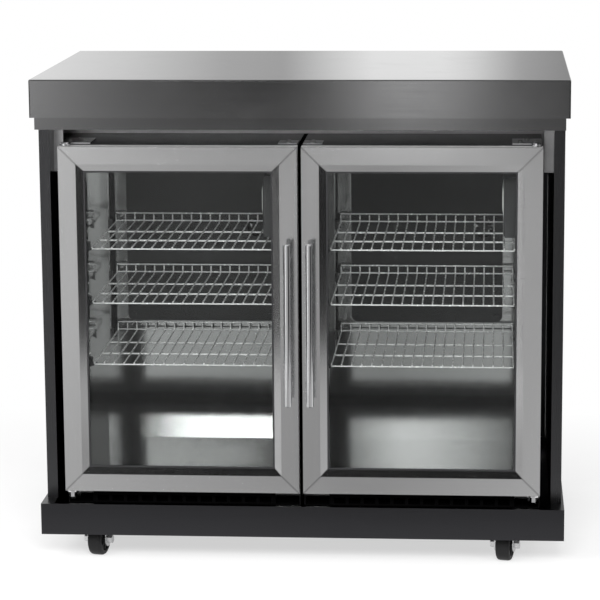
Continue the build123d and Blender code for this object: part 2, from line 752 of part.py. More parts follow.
def evaporator_cover(x):
    half, t = COVER_W / 2, COVER_SHEET
    pan = block(x - half, x + half, COVER_FRONT, LINER_BACK, COVER_Z0, INSIDE_Z1)
    lower = pan.edges().filter_by(Axis.Y).filter_by(lambda e: e.center().Z < INSIDE_Z1 - 1)
    pan = fillet(lower, COVER_CORNER_R)
    foot_z = COVER_Z0 + COVER_CORNER_R
    pan -= block(x - half + t, x + half - t, COVER_FRONT + t, LINER_BACK + t, foot_z, INSIDE_Z1 - t)
    fan_x = x + FAN_X
    ring = facet_peg(fan_x, FAN_Z, 0, LINER_BACK, GUARD_R, ROUND_SIDES)
    ring -= facet_peg(fan_x, FAN_Z, 0, LINER_BACK, GUARD_HUB_R, ROUND_SIDES)
    s = GUARD_SPOKE / 2
    for turn in (45, 135):
        spoke = Box(4 * GUARD_R, LINER_BACK * 2, 2 * s)
        ring -= Pos(fan_x, 0, FAN_Z) * Rot(0, turn, 0) * spoke
    pan -= ring
    motor_front = COVER_FRONT + t + FAN_T + 2 * GUARD_SPOKE
    motor = facet_peg(fan_x, FAN_Z, motor_front, motor_front + MOTOR_T, MOTOR_R, SMALL_SIDES)
    motor += peg(fan_x, FAN_Z, motor_front - GUARD_SPOKE - FAN_T, motor_front, SHAFT_R)
    motor += block(fan_x - s, fan_x + s, motor_front + s, motor_front + MOTOR_T, FAN_Z, RECESS_Z1)
    return [pan, motor]


def fan(x):
    fan_x = x + FAN_X
    front = COVER_FRONT + COVER_SHEET + GUARD_SPOKE
    hub = facet_peg(fan_x, FAN_Z, front, front + FAN_T, FAN_HUB_R, SMALL_SIDES)
    blade = Pos((FAN_R + FAN_HUB_R - BLADE_ROOT) / 2, 0, 0) * Rot(BLADE_TWIST, 0, 0)
    blade *= Box(FAN_R - FAN_HUB_R + BLADE_ROOT, BLADE_T, FAN_HUB_R)
    centre = Pos(fan_x, depth(front + FAN_T / 2), FAN_Z)
    for i in range(FAN_BLADES):
        hub += centre * Rot(0, 360 * i / FAN_BLADES, 0) * blade
    return hub - peg(fan_x, FAN_Z, front - FAN_T, front + 2 * FAN_T, SHAFT_R + FIT)


def evaporator(x):
    """A block of coil with upright fins on its front."""
    x0, x1 = x + COIL_X - COIL_W / 2, x + COIL_X + COIL_W / 2
    d0 = RECESS_BACK - COIL_T
    z0 = (RECESS_Z0 + RECESS_Z1 - COIL_H) / 2
    core = block(x0, x1, d0 + COIL_T / 3, RECESS_BACK, z0, z0 + COIL_H)
    pitch = COIL_W / COIL_FINS
    for i in range(COIL_FINS):
        left = x0 + i * pitch
        core += block(left, left + SKIN, d0, RECESS_BACK, z0, z0 + COIL_H)
    return core


def knobs(x):
    z = COVER_Z0 + KNOB_UP
    return [
        facet_peg(x + side * KNOB_X, z, COVER_FRONT - KNOB_T, COVER_FRONT, KNOB_R, SMALL_SIDES)
        for side in SIDES.values()
    ]


def light_box(x):
    wall = x + INSIDE_W / 2
    back, top = LIGHT_FRONT + LIGHT_DEPTH, LIGHT_FOOT + LIGHT_H
    box = block(wall - LIGHT_W, wall, LIGHT_FRONT, back, LIGHT_FOOT, top)
    edges = box.edges().filter_by(lambda e: e.center().X < wall - LIGHT_W + 1)
    return chamfer(edges, LIGHT_CHAMFER)


def compressor(x):
    """A domed shell on a foot plate and four rubber mounts."""
    place = x + COMPRESSOR_X
    z0 = BODY_Z0 + CHASSIS_SHEET + MOUNT_H
    r, h, dome = COMPRESSOR_R, COMPRESSOR_H, COMPRESSOR_DOME
    rise = dome / 3
    shell = extrude(RegularPolygon(r, ROUND_SIDES), h - dome)
    levels = [(h - dome, r), (h - rise, r - rise), (h, r - dome)]
    rings = [Pos(0, 0, z) * RegularPolygon(radius, ROUND_SIDES) for z, radius in levels]
    for lower, upper in zip(rings, rings[1:]):
        shell += loft([lower, upper], ruled=True)
    reach = COMPRESSOR_R - MOUNT_R / 2
    foot = block(place - reach - MOUNT_R, place + reach + MOUNT_R, COMPRESSOR_DEPTH - reach,
                 COMPRESSOR_DEPTH + reach, z0 - CHASSIS_SHEET, z0 + CHASSIS_SHEET)
    pieces = [Pos(place, depth(COMPRESSOR_DEPTH), z0) * shell + foot]
    for u in (-1, 1):
        for v in (-1, 1):
            mount_x, mount_d = place + u * reach, COMPRESSOR_DEPTH + v * (reach - MOUNT_R)
            foot_z, top_z = BODY_Z0 + CHASSIS_SHEET, z0 - CHASSIS_SHEET
            pieces.append(facet_post(mount_x, mount_d, foot_z, top_z, MOUNT_R, SMALL_SIDES))
    return pieces


def condenser(x):
    """A serpentine tube between upright wires, held off the back on two strips."""
    half, r, t = CONDENSER_W / 2, CONDENSER_TUBE_R, CONDENSER_WIRE
    d = BODY_BACK + CONDENSER_STANDOFF + r
    flat = r * cos(pi / HEX_SIDES)
    pitch = CONDENSER_H / (CONDENSER_RUNS - 1)
    points = []
    for i in range(CONDENSER_RUNS):
        z = CONDENSER_FOOT + i * pitch
        ends = (x - half, x + half) if i % 2 == 0 else (x + half, x - half)
        points += [Vector(u, depth(d), z) for u in ends]
    path = Polyline(*points)
    start = Plane(origin=points[0], z_dir=(1, 0, 0))
    tube = sweep(start * RegularPolygon(r, HEX_SIDES), path, transition=Transition.RIGHT)
    pieces = [tube]
    low, high = CONDENSER_FOOT - 2 * r, CONDENSER_FOOT + CONDENSER_H + 2 * r
    step = (CONDENSER_W - 2 * CONDENSER_WIRE_INSET) / (CONDENSER_WIRES - 1)
    for i in range(CONDENSER_WIRES):
        u = x - half + CONDENSER_WIRE_INSET + i * step
        pieces.append(block(u, u + t, d + flat, d + flat + t, low, high))
    for side in SIDES.values():
        u, w = x + side * (half - STRIP_INSET), STRIP_W / 2
        pieces.append(block(u - w, u + w, BODY_BACK, d - flat, low, high))
    return pieces


# Door hinges

def top_hinge(x, side):
    edge = x + side * (FRIDGE_W / 2 - HINGE_EDGE_GAP)
    pin_x = x + side * (FRIDGE_W / 2 - HINGE_INSET)
    z0, z1 = BODY_Z1, BODY_Z1 + HINGE_SHEET
    plate = block(edge, edge - side * HINGE_W, BODY_FRONT + SKIN, HINGE_DEPTH, z0, z1)
    plate += block(pin_x - HINGE_NOSE_R, pin_x + HINGE_NOSE_R, HINGE_PIN_DEPTH, BODY_FRONT + SKIN, z0, z1)
    plate += facet_post(pin_x, HINGE_PIN_DEPTH, z0, z1, HINGE_NOSE_R, ROUND_SIDES)
    plate += facet_post(pin_x, HINGE_PIN_DEPTH, z1, z1 + HINGE_HEAD_T, HINGE_HEAD_R, SMALL_SIDES)
    return plate + post(pin_x, HINGE_PIN_DEPTH, DOOR_Z1 - HINGE_PIN_L, z0, HINGE_PIN_R)


def bottom_hinge(x, side):
    edge = x + side * (FRIDGE_W / 2 - HINGE_EDGE_GAP)
    pin_x = x + side * (FRIDGE_W / 2 - HINGE_INSET)
    z1 = DOOR_Z0 - HINGE_SHEET
    z0 = z1 - HINGE_SHEET
    inner = edge - side * HINGE_ARM_W
    leg = block(edge, inner, BODY_FRONT - HINGE_SHEET, BODY_FRONT, z1 - HINGE_LEG, z1)
    leg += block(pin_x - HINGE_NOSE_R, pin_x + HINGE_NOSE_R, HINGE_PIN_DEPTH, BODY_FRONT, z0, z1)
    leg += facet_post(pin_x, HINGE_PIN_DEPTH, z0, z1, HINGE_NOSE_R, ROUND_SIDES)
    leg += facet_post(pin_x, HINGE_PIN_DEPTH, z1, DOOR_Z0 - EDGE_GAP, WASHER_R, SMALL_SIDES)
    leg += post(pin_x, HINGE_PIN_DEPTH, DOOR_Z0 - EDGE_GAP, DOOR_Z0 + HINGE_PIN_L, HINGE_PIN_R)
    return leg + facet_post(pin_x, HINGE_PIN_DEPTH, z0 - HINGE_BOLT_L, z0, HINGE_HEAD_R, HEX_SIDES)


def blank_plate(x, side):
    edge = x - side * (FRIDGE_W / 2 - HINGE_EDGE_GAP)
    inner, back = edge + side * BLANK_W, BODY_FRONT + BLANK_D
    return block(edge, inner, BODY_FRONT + SKIN, back, BODY_Z1, BODY_Z1 + BLANK_T)


# Doors, each closed, with its hinge at the outer edge

def door_edges(x):
    return x - FRIDGE_W / 2, x + FRIDGE_W / 2, DOOR_Z0, DOOR_Z1


def door_frame(x):
    t, f = DOOR_SHEET, DOOR_FRONT
    flat, lip = DOOR_FLAT, DOOR_FLAT + DOOR_BEVEL
    profile = [
        (0, f), (flat, f), (lip, f + DOOR_BEVEL_IN), (lip, f + DOOR_BEVEL_IN + t),
        (flat, f + t), (t, f + t), (t, f + DOOR_WRAP), (0, f + DOOR_WRAP),
    ]
    return mitred_ring(profile, *door_edges(x))


def pane_depths():
    """Front and back depth of the front pane and of the rear pane."""
    front = DOOR_FRONT + DOOR_BEVEL_IN + DOOR_SHEET + EDGE_GAP
    rear = front + PANE_T + PANE_GAP
    return (front, front + PANE_T), (rear, rear + PANE_T)


def door_core(x, side):
    """The inner frame, with a rib between the panes and a lip behind each of them."""
    t, wrap = DOOR_SHEET, DOOR_FRONT + DOOR_WRAP
    lip = DOOR_FLAT + DOOR_BEVEL
    seat = lip - PANE_BITE - PANE_CLEAR
    (_, front_back), (rear_front, rear_back) = pane_depths()
    edges = door_edges(x)
    ring = inset_box(edges, t, DOOR_FRONT + t, wrap) + inset_box(edges, 0, wrap, DOOR_BACK)
    for inset, d0, d1 in (
        (seat, DOOR_FRONT, front_back), (lip - t, front_back, rear_front),
        (seat, rear_front, rear_back), (lip - 2 * t, rear_back, DOOR_BACK + t),
    ):
        ring -= inset_box(edges, inset, d0, d1)
    pin_x = x + side * (FRIDGE_W / 2 - HINGE_INSET)
    reach = HINGE_PIN_L + HINGE_BORE_END
    for z in (DOOR_Z0, DOOR_Z1):
        ring -= post(pin_x, HINGE_PIN_DEPTH, z - reach, z + reach, HINGE_PIN_R + FIT)
    return ring


def door_glass(x):
    inset = DOOR_FLAT + DOOR_BEVEL - PANE_BITE
    return [inset_box(door_edges(x), inset, d0, d1) for d0, d1 in pane_depths()]


def door_gasket(x):
    b, t, fold = DOOR_BACK, GASKET_T, GASKET_FOLD
    outer, inner = GASKET_INSET, GASKET_INSET + GASKET_W
    profile = [
        (outer, b), (inner, b), (inner - fold, b + t / 2),
        (inner, b + t), (outer, b + t), (outer + fold, b + t / 2),
    ]
    sides = mitred_ring(profile, *door_edges(x))
    return sides[0].fuse(*sides[1:])


def door_handle(x, side):
    bar_x = x - side * (FRIDGE_W / 2 - HANDLE_X)
    z0, z1 = HANDLE_Z - HANDLE_L / 2, HANDLE_Z + HANDLE_L / 2
    bar = post(bar_x, HANDLE_DEPTH, z0, z1, HANDLE_R)
    bar = chamfer(bar.edges().filter_by(GeomType.CIRCLE), HANDLE_EDGE)
    pieces = [bar]
    for z in (z0 + HANDLE_POST_INSET, z1 - HANDLE_POST_INSET):
        pieces.append(facet_peg(bar_x, z, HANDLE_DEPTH, DOOR_FRONT, HANDLE_POST_R, SMALL_SIDES) - bar)
    return pieces


def build():
    os.makedirs("parts", exist_ok=True)
    group("countertop", [countertop()])
    group("top_frame", top_frame())
    group("back_panel", [back_panel()])
    group("base_frame", base_frame())
    group("base_floor", base_floor())
    group("corner_brackets", corner_brackets())
    group("hold_down_rail", [hold_rail()])
    for name, side in SIDES.items():
        group(f"side_panel_{name}", side_panel(side))

    plates = []
    for name, side, d in caster_places():
        place = at_caster(side, d)
        braked = name.startswith("front")
        plates.append(Pos(side * CASTER_X, depth(d), 0) * caster_plate())
        group(f"caster_fork_{name}", [place * fork(braked)])
        group(f"caster_wheel_{name}", [place * wheel()])
        group(f"caster_axle_{name}", [place * axle()])
        if braked:
            group(f"brake_pedal_{name}", [place * brake_pedal()])
    group("caster_plates", plates)

    centres = {name: side * FRIDGE_X for name, side in SIDES.items()}
    for name, x in centres.items():
        side = SIDES[name]
        group(f"case_{name}", [case(x)])
        group(f"foam_{name}", [foam(x)])
        group(f"liner_{name}", [liner(x)])
        group(f"evaporator_fan_{name}", [fan(x)])
        for place, level in zip(SHELF_NAMES, SHELF_LEVELS):
            group(f"shelf_{place}_{name}", shelf(x, level))
        group(f"door_frame_{name}", door_frame(x))
        group(f"door_core_{name}", [door_core(x, side)])
        group(f"door_glass_{name}", door_glass(x))
        group(f"door_gasket_{name}", [door_gasket(x)])
        group(f"door_handle_{name}", door_handle(x, side))

    pair = list(centres.values())
    group("chassis_pans", [chassis(x) for x in pair])
    group("fridge_feet", [foot for x in pair for foot in feet(x)])
    group("kick_grilles", [kick_grille(x) for x in pair])
    group("shelf_pilasters", [piece for x in pair for piece in pilasters(x)])
    group("shelf_clips", [piece for x in pair for piece in clips(x)])
    group("evaporator_covers", [piece for x in pair for piece in evaporator_cover(x)])
    group("evaporators", [evaporator(x) for x in pair])
    group("cover_knobs", [piece for x in pair for piece in knobs(x)])
    group("light_boxes", [light_box(x) for x in pair])
    group("compressors", [piece for x in pair for piece in compressor(x)])
    group("condensers", [piece for x in pair for piece in condenser(x)])
    hinges = []
    for name, x in centres.items():
        side = SIDES[name]
        hinges += [top_hinge(x, side), bottom_hinge(x, side), blank_plate(x, side)]
    group("hinge_plates", hinges)


build()
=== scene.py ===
"""An outdoor refrigerator: two glass-door fridges in a black stainless cabinet on casters."""

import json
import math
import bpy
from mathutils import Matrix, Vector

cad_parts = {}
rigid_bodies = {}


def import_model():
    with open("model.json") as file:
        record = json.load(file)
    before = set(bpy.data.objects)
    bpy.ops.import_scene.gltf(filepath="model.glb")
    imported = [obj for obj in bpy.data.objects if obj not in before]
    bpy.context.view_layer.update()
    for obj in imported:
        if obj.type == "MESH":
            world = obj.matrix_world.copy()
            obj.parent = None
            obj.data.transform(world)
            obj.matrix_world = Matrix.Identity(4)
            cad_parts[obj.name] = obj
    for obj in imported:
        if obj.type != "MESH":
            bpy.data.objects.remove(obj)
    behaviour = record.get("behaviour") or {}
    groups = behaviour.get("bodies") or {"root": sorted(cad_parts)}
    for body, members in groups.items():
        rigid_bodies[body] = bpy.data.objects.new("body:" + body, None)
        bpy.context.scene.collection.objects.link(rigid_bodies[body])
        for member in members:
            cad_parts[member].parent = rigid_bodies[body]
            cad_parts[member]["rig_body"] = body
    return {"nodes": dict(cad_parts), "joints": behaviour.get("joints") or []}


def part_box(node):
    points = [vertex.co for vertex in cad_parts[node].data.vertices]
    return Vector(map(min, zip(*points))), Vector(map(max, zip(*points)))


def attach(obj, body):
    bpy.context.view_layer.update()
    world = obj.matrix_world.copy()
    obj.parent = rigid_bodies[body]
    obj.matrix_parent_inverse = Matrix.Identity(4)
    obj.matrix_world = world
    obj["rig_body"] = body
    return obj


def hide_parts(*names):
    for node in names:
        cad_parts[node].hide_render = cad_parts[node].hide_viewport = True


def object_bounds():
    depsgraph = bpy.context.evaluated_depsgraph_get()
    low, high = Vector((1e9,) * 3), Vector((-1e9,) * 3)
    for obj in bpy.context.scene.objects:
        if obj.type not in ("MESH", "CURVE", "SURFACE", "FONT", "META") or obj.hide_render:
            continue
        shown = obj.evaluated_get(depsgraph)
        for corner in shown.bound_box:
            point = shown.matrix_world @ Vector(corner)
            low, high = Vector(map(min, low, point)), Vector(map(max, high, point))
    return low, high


bl_info = {
    "name": "Outdoor Refrigerator",
    "version": (1, 0, 0),
    "blender": (4, 5, 0),
    "location": "3D View > Sidebar > Refrigerator",
    "description": "Dresses the refrigerator's solids with wires, tyres, fasteners and finishes",
    "category": "Object",
}

from functools import cached_property

import bmesh
import bpy
from bpy.props import FloatProperty, FloatVectorProperty, IntProperty, PointerProperty
from mathutils import Matrix, Vector

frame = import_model()
CAD_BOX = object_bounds()

SIDES = {"left": -1, "right": 1}
LEVELS = ("bottom", "middle", "top")
CASTERS = ("front_left", "front_right", "rear_left", "rear_right")
FULL_TURN = 2 * math.pi
UP, DOWN = Vector((0, 0, 1)), Vector((0, 0, -1))
FRONT, BACK = Vector((0, -1, 0)), Vector((0, 1, 0))


# Shader maths

class Value:
    """A socket that adds the Math node of each operator used on it."""

    def __init__(self, finish, socket):
        self.finish = finish
        self.socket = socket

    def maths(self, operation, *values):
        return self.finish.node("ShaderNodeMath", {"operation": operation}, dict(enumerate(values)))

    def __add__(self, other):
        return self.maths("ADD", self, other)

    def __sub__(self, other):
        return self.maths("SUBTRACT", self, other)

    def __rsub__(self, other):
        return self.maths("SUBTRACT", other, self)

    def __mul__(self, other):
        return self.maths("MULTIPLY", self, other)

    def __gt__(self, other):
        return self.maths("GREATER_THAN", self, other)

    def __or__(self, other):
        return self.maths("MAXIMUM", self, other)

    def __abs__(self):
        return self.maths("ABSOLUTE", self)

    __radd__ = __add__
    __rmul__ = __mul__


class Finish:
    """A material or a world whose nodes are added through one method."""

    def __init__(self, name, owner=None):
        self.owner = owner or bpy.data.materials.new(name)
        self.owner.use_nodes = True
        self.tree = self.owner.node_tree
        self.tree.nodes.clear()

    @cached_property
    def place(self):
        return self.node("ShaderNodeTexCoord", output="Object")

    def node(self, kind, settings=None, sockets=None, output=0):
        """Add a node, set it up, fill or link its sockets and give one of its outputs."""
        made = self.tree.nodes.new(kind)
        for key, value in (settings or {}).items():
            if key == "stops":
                set_stops(made.color_ramp, value)
            else:
                setattr(made, key, value)
        for key, value in (sockets or {}).items():
            if isinstance(value, Value):
                self.tree.links.new(value.socket, made.inputs[key])
            else:
                made.inputs[key].default_value = value
        return Value(self, made.outputs[output]) if made.outputs else made

    def noise(self, stretch, detail=3.0, roughness=0.55):
        """Noise of 0 to 1, with this many features to the metre along each axis."""
        spread = self.node("ShaderNodeVectorMath", {"operation": "MULTIPLY"}, {0: self.place, 1: stretch})
        return self.node(
            "ShaderNodeTexNoise", None,
            {"Vector": spread, "Scale": 1.0, "Detail": detail, "Roughness": roughness},
        )

    def axis(self, letter):
        return self.node("ShaderNodeSeparateXYZ", None, {0: self.place}, letter)

    def mix(self, mask, first, second):
        """A colour between two, by a mask."""
        # The node has sockets for every kind of data, and 6, 7 and output 2 are the colours'
        return self.node("ShaderNodeMix", {"data_type": "RGBA"}, {0: mask, 6: first, 7: second}, 2)

    def pick(self, mask, first, second):
        """A number between two, by a mask."""
        return first + (second - first) * mask

    def ramp(self, value, *stops):
        return self.node("ShaderNodeValToRGB", {"stops": stops}, {0: value})

    def bump(self, height, strength, distance):
        return self.node(
            "ShaderNodeBump", None, {"Height": height, "Strength": strength, "Distance": distance},
        )

    def surface(self, **sockets):
        """Add the shader, with its sockets named in lower case."""
        named = {}
        for key, value in sockets.items():
            named[key.replace("_", " ").title().replace("Ior", "IOR")] = value
        return self.node("ShaderNodeBsdfPrincipled", None, named)

    def rays(self, *kinds):
        """A mask of the rays of these kinds."""
        masks = [self.node("ShaderNodeLightPath", None, None, f"Is {kind} Ray") for kind in kinds]
        seen = masks[0]
        for mask in masks[1:]:
            seen = seen | mask
        return seen

    def glow(self, colour, strength):
        return self.node("ShaderNodeEmission", None, {"Color": colour, "Strength": strength})

    def blend(self, mask, first, second):
        """A shader between two, by a mask."""
        return self.node("ShaderNodeMixShader", None, {0: mask, 1: first, 2: second})

    def done(self, shader, output="ShaderNodeOutputMaterial"):
        self.node(output, None, {"Surface": shader})
        return self.owner


def set_stops(ramp, stops):
    while len(ramp.elements) > len(stops):
        ramp.elements.remove(ramp.elements[-1])
    while len(ramp.elements) < len(stops):
        ramp.elements.new(1.0)
    for element, (position, grey) in zip(ramp.elements, stops):
        element.position = position
        element.color = (grey, grey, grey, 1.0)


def shade(colour, amount):
    """A colour made lighter or darker."""
    return tuple(min(1.0, c * amount) for c in colour[:3]) + (1.0,)


# Finishes

def brushed_metal(name, colour, roughness, along, contrast=0.06, relief=0.2):
    """Brushed sheet, with its grain along one axis, faint clouds and rubbed patches."""
    finish = Finish(name)
    fine, drawn = 900.0, 6.0
    lines = finish.noise([drawn if letter == along else fine for letter in "XYZ"], 4.0)
    clouds = finish.noise((2.0, 2.0, 3.0), 2.0)
    rubs = finish.ramp(finish.noise((9.0, 9.0, 14.0), 5.0), (0.5, 0.0), (0.8, 1.0))
    grain = lines * 0.7 + clouds * 0.3
    tone = finish.mix(grain, shade(colour, 1 - contrast), shade(colour, 1 + contrast))
    shader = finish.surface(
        base_color=tone, metallic=1.0, roughness=roughness + (lines - 0.5) * 0.06 + rubs * 0.03,
        normal=finish.bump(lines, relief, 0.0003),
    )
    return finish.done(shader)


def door_steel(name, colour, width, centre_x, low, high):
    """Brushed frame bars, with the grain along each bar and turning at the mitres."""
    finish = Finish(name)
    from_side = width / 2 - abs(abs(finish.axis("X")) - centre_x)
    from_end = (high - low) / 2 - abs(finish.axis("Z") - (low + high) / 2)
    upright = from_end > from_side
    fine, drawn, seam_width = 850.0, 6.0, 0.0009
    level_lines = finish.noise((drawn, fine, fine), 4.0)
    upright_lines = finish.noise((fine, fine, drawn), 4.0)
    lines = finish.pick(upright, level_lines, upright_lines)
    clouds = finish.noise((2.5, 3.0, 2.5), 2.0)
    grain = lines * 0.7 + clouds * 0.3
    seam = finish.ramp(abs(from_end - from_side), (0.0, 1.0), (seam_width, 0.0))
    tone = finish.mix(grain, shade(colour, 0.95), shade(colour, 1.05))
    tone = finish.mix(seam, tone, shade(colour, 0.62))
    smears = finish.ramp(finish.noise((14.0, 14.0, 9.0), 5.0), (0.5, 0.0), (0.8, 1.0))
    roughness = finish.pick(upright, 0.17, 0.15) + (lines - 0.5) * 0.06 + smears * 0.02
    shader = finish.surface(
        base_color=tone, metallic=1.0, roughness=roughness, normal=finish.bump(lines, 0.05, 0.0002),
    )
    return finish.done(shader)


def lining_steel(name, colour):
    """Bright pressed sheet inside the fridges, with slow waves, fine rub marks and a floor that drains."""
    finish = Finish(name)
    # Slope of the floor up to the back, and the way along it that rises as much as a wave does
    slope, wave = 0.022, 0.035
    waves = finish.noise((2.6, 2.6, 5.0), 1.0)
    rubs = finish.noise((240.0, 240.0, 12.0), 4.0)
    tone = finish.mix(rubs * 0.5 + waves * 0.5, shade(colour, 0.93), shade(colour, 1.04))
    shader = finish.surface(
        base_color=tone, metallic=1.0, roughness=0.07 + rubs * 0.05,
        normal=finish.bump(finish.axis("Y") + waves * wave, 1.0, slope),
    )
    return finish.done(shader)


def plated_metal(name, colour, roughness, spangle=60.0, metallic=1.0):
    """Zinc or chrome plate, with small patches of tone and a few dull spots."""
    finish = Finish(name)
    patches = finish.noise((spangle, spangle, spangle), 3.0)
    spots = finish.ramp(finish.noise((spangle * 4, spangle * 4, spangle * 4), 2.0), (0.55, 0.0), (0.8, 1.0))
    tone = finish.mix(patches, shade(colour, 0.85), shade(colour, 1.12))
    shader = finish.surface(
        base_color=tone, metallic=metallic, roughness=roughness + spots * 0.12,
        normal=finish.bump(patches, 0.05, 0.0002),
    )
    return finish.done(shader)


def coated_metal(name, colour, roughness, gloss=0.4):
    """Painted sheet, with the slight orange peel of a sprayed coat."""
    finish = Finish(name)
    peel = finish.noise((420.0, 420.0, 420.0), 2.0)
    clouds = finish.noise((5.0, 5.0, 5.0), 3.0)
    tone = finish.mix(clouds, shade(colour, 0.8), shade(colour, 1.25))
    shader = finish.surface(
        base_color=tone, roughness=roughness + (clouds - 0.5) * 0.1, coat_weight=gloss,
        coat_roughness=0.12, normal=finish.bump(peel, 0.1, 0.0003),
    )
    return finish.done(shader)


def moulded(name, colour, roughness, texture=700.0, gloss=0.5):
    """Moulded plastic or rubber with a spark-eroded texture and lighter scuffs."""
    finish = Finish(name)
    pits = finish.noise((texture, texture, texture), 2.0)
    scuffs = finish.ramp(finish.noise((35.0, 35.0, 35.0), 6.0), (0.55, 0.0), (0.85, 1.0))
    tone = finish.mix(scuffs, shade(colour, 0.95), shade(colour, 1.7))
    shader = finish.surface(
        base_color=tone, roughness=roughness + scuffs * 0.12, specular_ior_level=gloss,
        normal=finish.bump(pits, 0.18, 0.0004),
    )
    return finish.done(shader)


def clear_pane(name, colour, reflection):
    """A clear pane that mirrors more the flatter it is seen, with faint wipe marks."""
    finish = Finish(name)
    fresnel = finish.node("ShaderNodeFresnel", None, {"IOR": 1.45})
    wipes = finish.ramp(finish.noise((9.0, 9.0, 14.0), 5.0), (0.5, 0.0), (0.9, 1.0))
    clear = finish.node("ShaderNodeBsdfTransparent", None, {"Color": colour})
    mirror = finish.surface(base_color=(0.95, 0.95, 0.95, 1.0), metallic=1.0, roughness=0.02 + wipes * 0.02)
    return finish.done(finish.blend(fresnel * reflection + wipes * 0.003, clear, mirror))


def rigid_foam(name, colour):
    """Sprayed foam between the walls, with open cells."""
    finish = Finish(name)
    cells = finish.node("ShaderNodeTexVoronoi", None, {"Vector": finish.place, "Scale": 260.0})
    tone = finish.mix(cells, shade(colour, 1.05), shade(colour, 0.75))
    relief = finish.bump(cells, 0.5, 0.001)
    return finish.done(finish.surface(base_color=tone, roughness=0.9, normal=relief))


def frosted_lens(name, dull, bright):
    """Frosted plastic over a lamp, with fine ribs across it."""
    finish = Finish(name)
    ribs = finish.noise((20.0, 20.0, 700.0), 2.0)
    tone = finish.mix(ribs, dull, bright)
    relief = finish.bump(ribs, 0.2, 0.0005)
    return finish.done(finish.surface(base_color=tone, roughness=0.3, normal=relief))


def make_finishes(colours):
    """Every finish, by the name that the pieces use for it."""
    low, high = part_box("door_frame_left")
    door = (high.x - low.x, abs(low.x + high.x) / 2, low.z, high.z)
    black, top = colours.black_stainless, colours.worktop
    return {
        "worktop": brushed_metal("worktop_black_stainless", top, 0.12, "X", 0.04, 0.04),
        # The rails under the worktop get its colour darkened, as painted shade under its lip
        "frame": brushed_metal("frame_shaded_black_stainless", shade(top, 0.82), 0.12, "X", 0.04, 0.04),
        "upright_black": brushed_metal("upright_black_stainless", black, 0.28, "Z"),
        "plinth": brushed_metal("plinth_black", colours.plinth, 0.3, "X"),
        "door_steel": door_steel("door_brushed_steel", colours.door_steel, *door),
        "lining": lining_steel("lining_steel", colours.lining),
        "case": coated_metal("case_black", colours.case, 0.25, 0.0),
        "zinc": plated_metal("zinc_plate", colours.zinc, 0.34),
        "chrome": plated_metal("bright_chrome", colours.chrome, 0.12, 30.0),
        "handle": brushed_metal("handle_steel", colours.chrome, 0.09, "Z", 0.04, 0.0),
        "wire": plated_metal("shelf_wire_plate", colours.wire, 0.25, 30.0, 0.45),
        "aluminium": plated_metal("fin_aluminium", colours.chrome, 0.38),
        "machine": coated_metal("machine_black", colours.case, 0.4),
        # Black plastic darkened tenfold, as painted shade in the recess under the doors and the fridges
        "kick": moulded("kick_shaded_black", shade(colours.plastic, 0.1), 0.8, gloss=0.02),
        "plastic": moulded("black_plastic", colours.plastic, 0.45),
        "core": moulded("door_core_plastic", colours.core, 0.4),
        "box": moulded("light_box_plastic", shade(colours.cover, 1.7), 0.4, 500.0),
        "cover": moulded("cover_plastic", colours.cover, 0.42, 500.0),
        "gasket": moulded("gasket_rubber", colours.plastic, 0.6, 400.0),
        "tyre": moulded("tyre_rubber", shade(colours.plastic, 0.4), 0.55, 300.0, 0.25),
        "glass": clear_pane("door_glass", colours.glass, 0.3),
        "foam": rigid_foam("insulation_foam", colours.foam),
        "lens": frosted_lens("lamp_lens", (0.5, 0.5, 0.48, 1.0), (0.7, 0.7, 0.68, 1.0)),
    }


NODE_FINISH = {
    "countertop": "worktop", "top_frame": "frame", "back_panel": "upright_black",
    "side_panel": "upright_black", "base_frame": "plinth", "base_floor": "plinth",
    "corner_brackets": "zinc", "hold_down_rail": "zinc", "caster_plates": "zinc",
    "caster_fork": "zinc", "caster_axle": "zinc", "caster_wheel": "tyre", "brake_pedal": "zinc",
    "case": "case", "foam": "foam", "liner": "lining", "chassis_pans": "kick",
    "fridge_feet": "plastic", "kick_grilles": "kick", "shelf_pilasters": "lining",
    "shelf_clips": "plastic", "shelf": "chrome", "evaporator_covers": "cover",
    "evaporator_fan": "plastic", "evaporators": "aluminium", "cover_knobs": "plastic",
    "light_boxes": "box", "compressors": "machine", "condensers": "machine",
    "hinge_plates": "chrome", "door_frame": "door_steel", "door_core": "core",
    "door_gasket": "gasket", "door_glass": "glass", "door_handle": "handle",
}
FINISHES = {}


def finish_of(node):
    """The finish of a CAD node, by the longest name that it starts with."""
    keys = [key for key in NODE_FINISH if node.startswith(key)]
    return NODE_FINISH[max(keys, key=len)]


# Mesh building

WIRE_SIDES = 10
BEND_STEPS = 5


def piece(name, mesh, body, finish, replaces=(), smooth=40):
    """Turn a bmesh into a piece of the refrigerator that rides on one of its bodies.

    Edges that turn by more than smooth degrees stay sharp.
    """
    bmesh.ops.recalc_face_normals(mesh, faces=mesh.faces)
    data = bpy.data.meshes.new(name)
    mesh.to_mesh(data)
    mesh.free()
    made = bpy.data.objects.new(name, data)
    bpy.context.collection.objects.link(made)
    data.materials.append(FINISHES[finish])
    data.shade_smooth()
    data.set_sharp_from_angle(angle=math.radians(smooth))
    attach(made, body)
    if replaces:
        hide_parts(*replaces)


def body_of_node(node):
    return frame["nodes"][node]["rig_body"]


def rounded(points, radius):
    """A path whose inner corners become arcs."""
    path = [points[0]]
    for before, corner, after in zip(points, points[1:], points[2:]):
        into, out = (corner - before).normalized(), (after - corner).normalized()
        turn = into.angle(out)
        reach = radius * math.tan(turn / 2)
        start = corner - into * reach
        centre = start + (out - into * into.dot(out)).normalized() * radius
        normal = into.cross(out).normalized()
        for i in range(BEND_STEPS + 1):
            spin = Matrix.Rotation(turn * i / BEND_STEPS, 3, normal)
            path.append(centre + spin @ (start - centre))
    return path + [points[-1]]


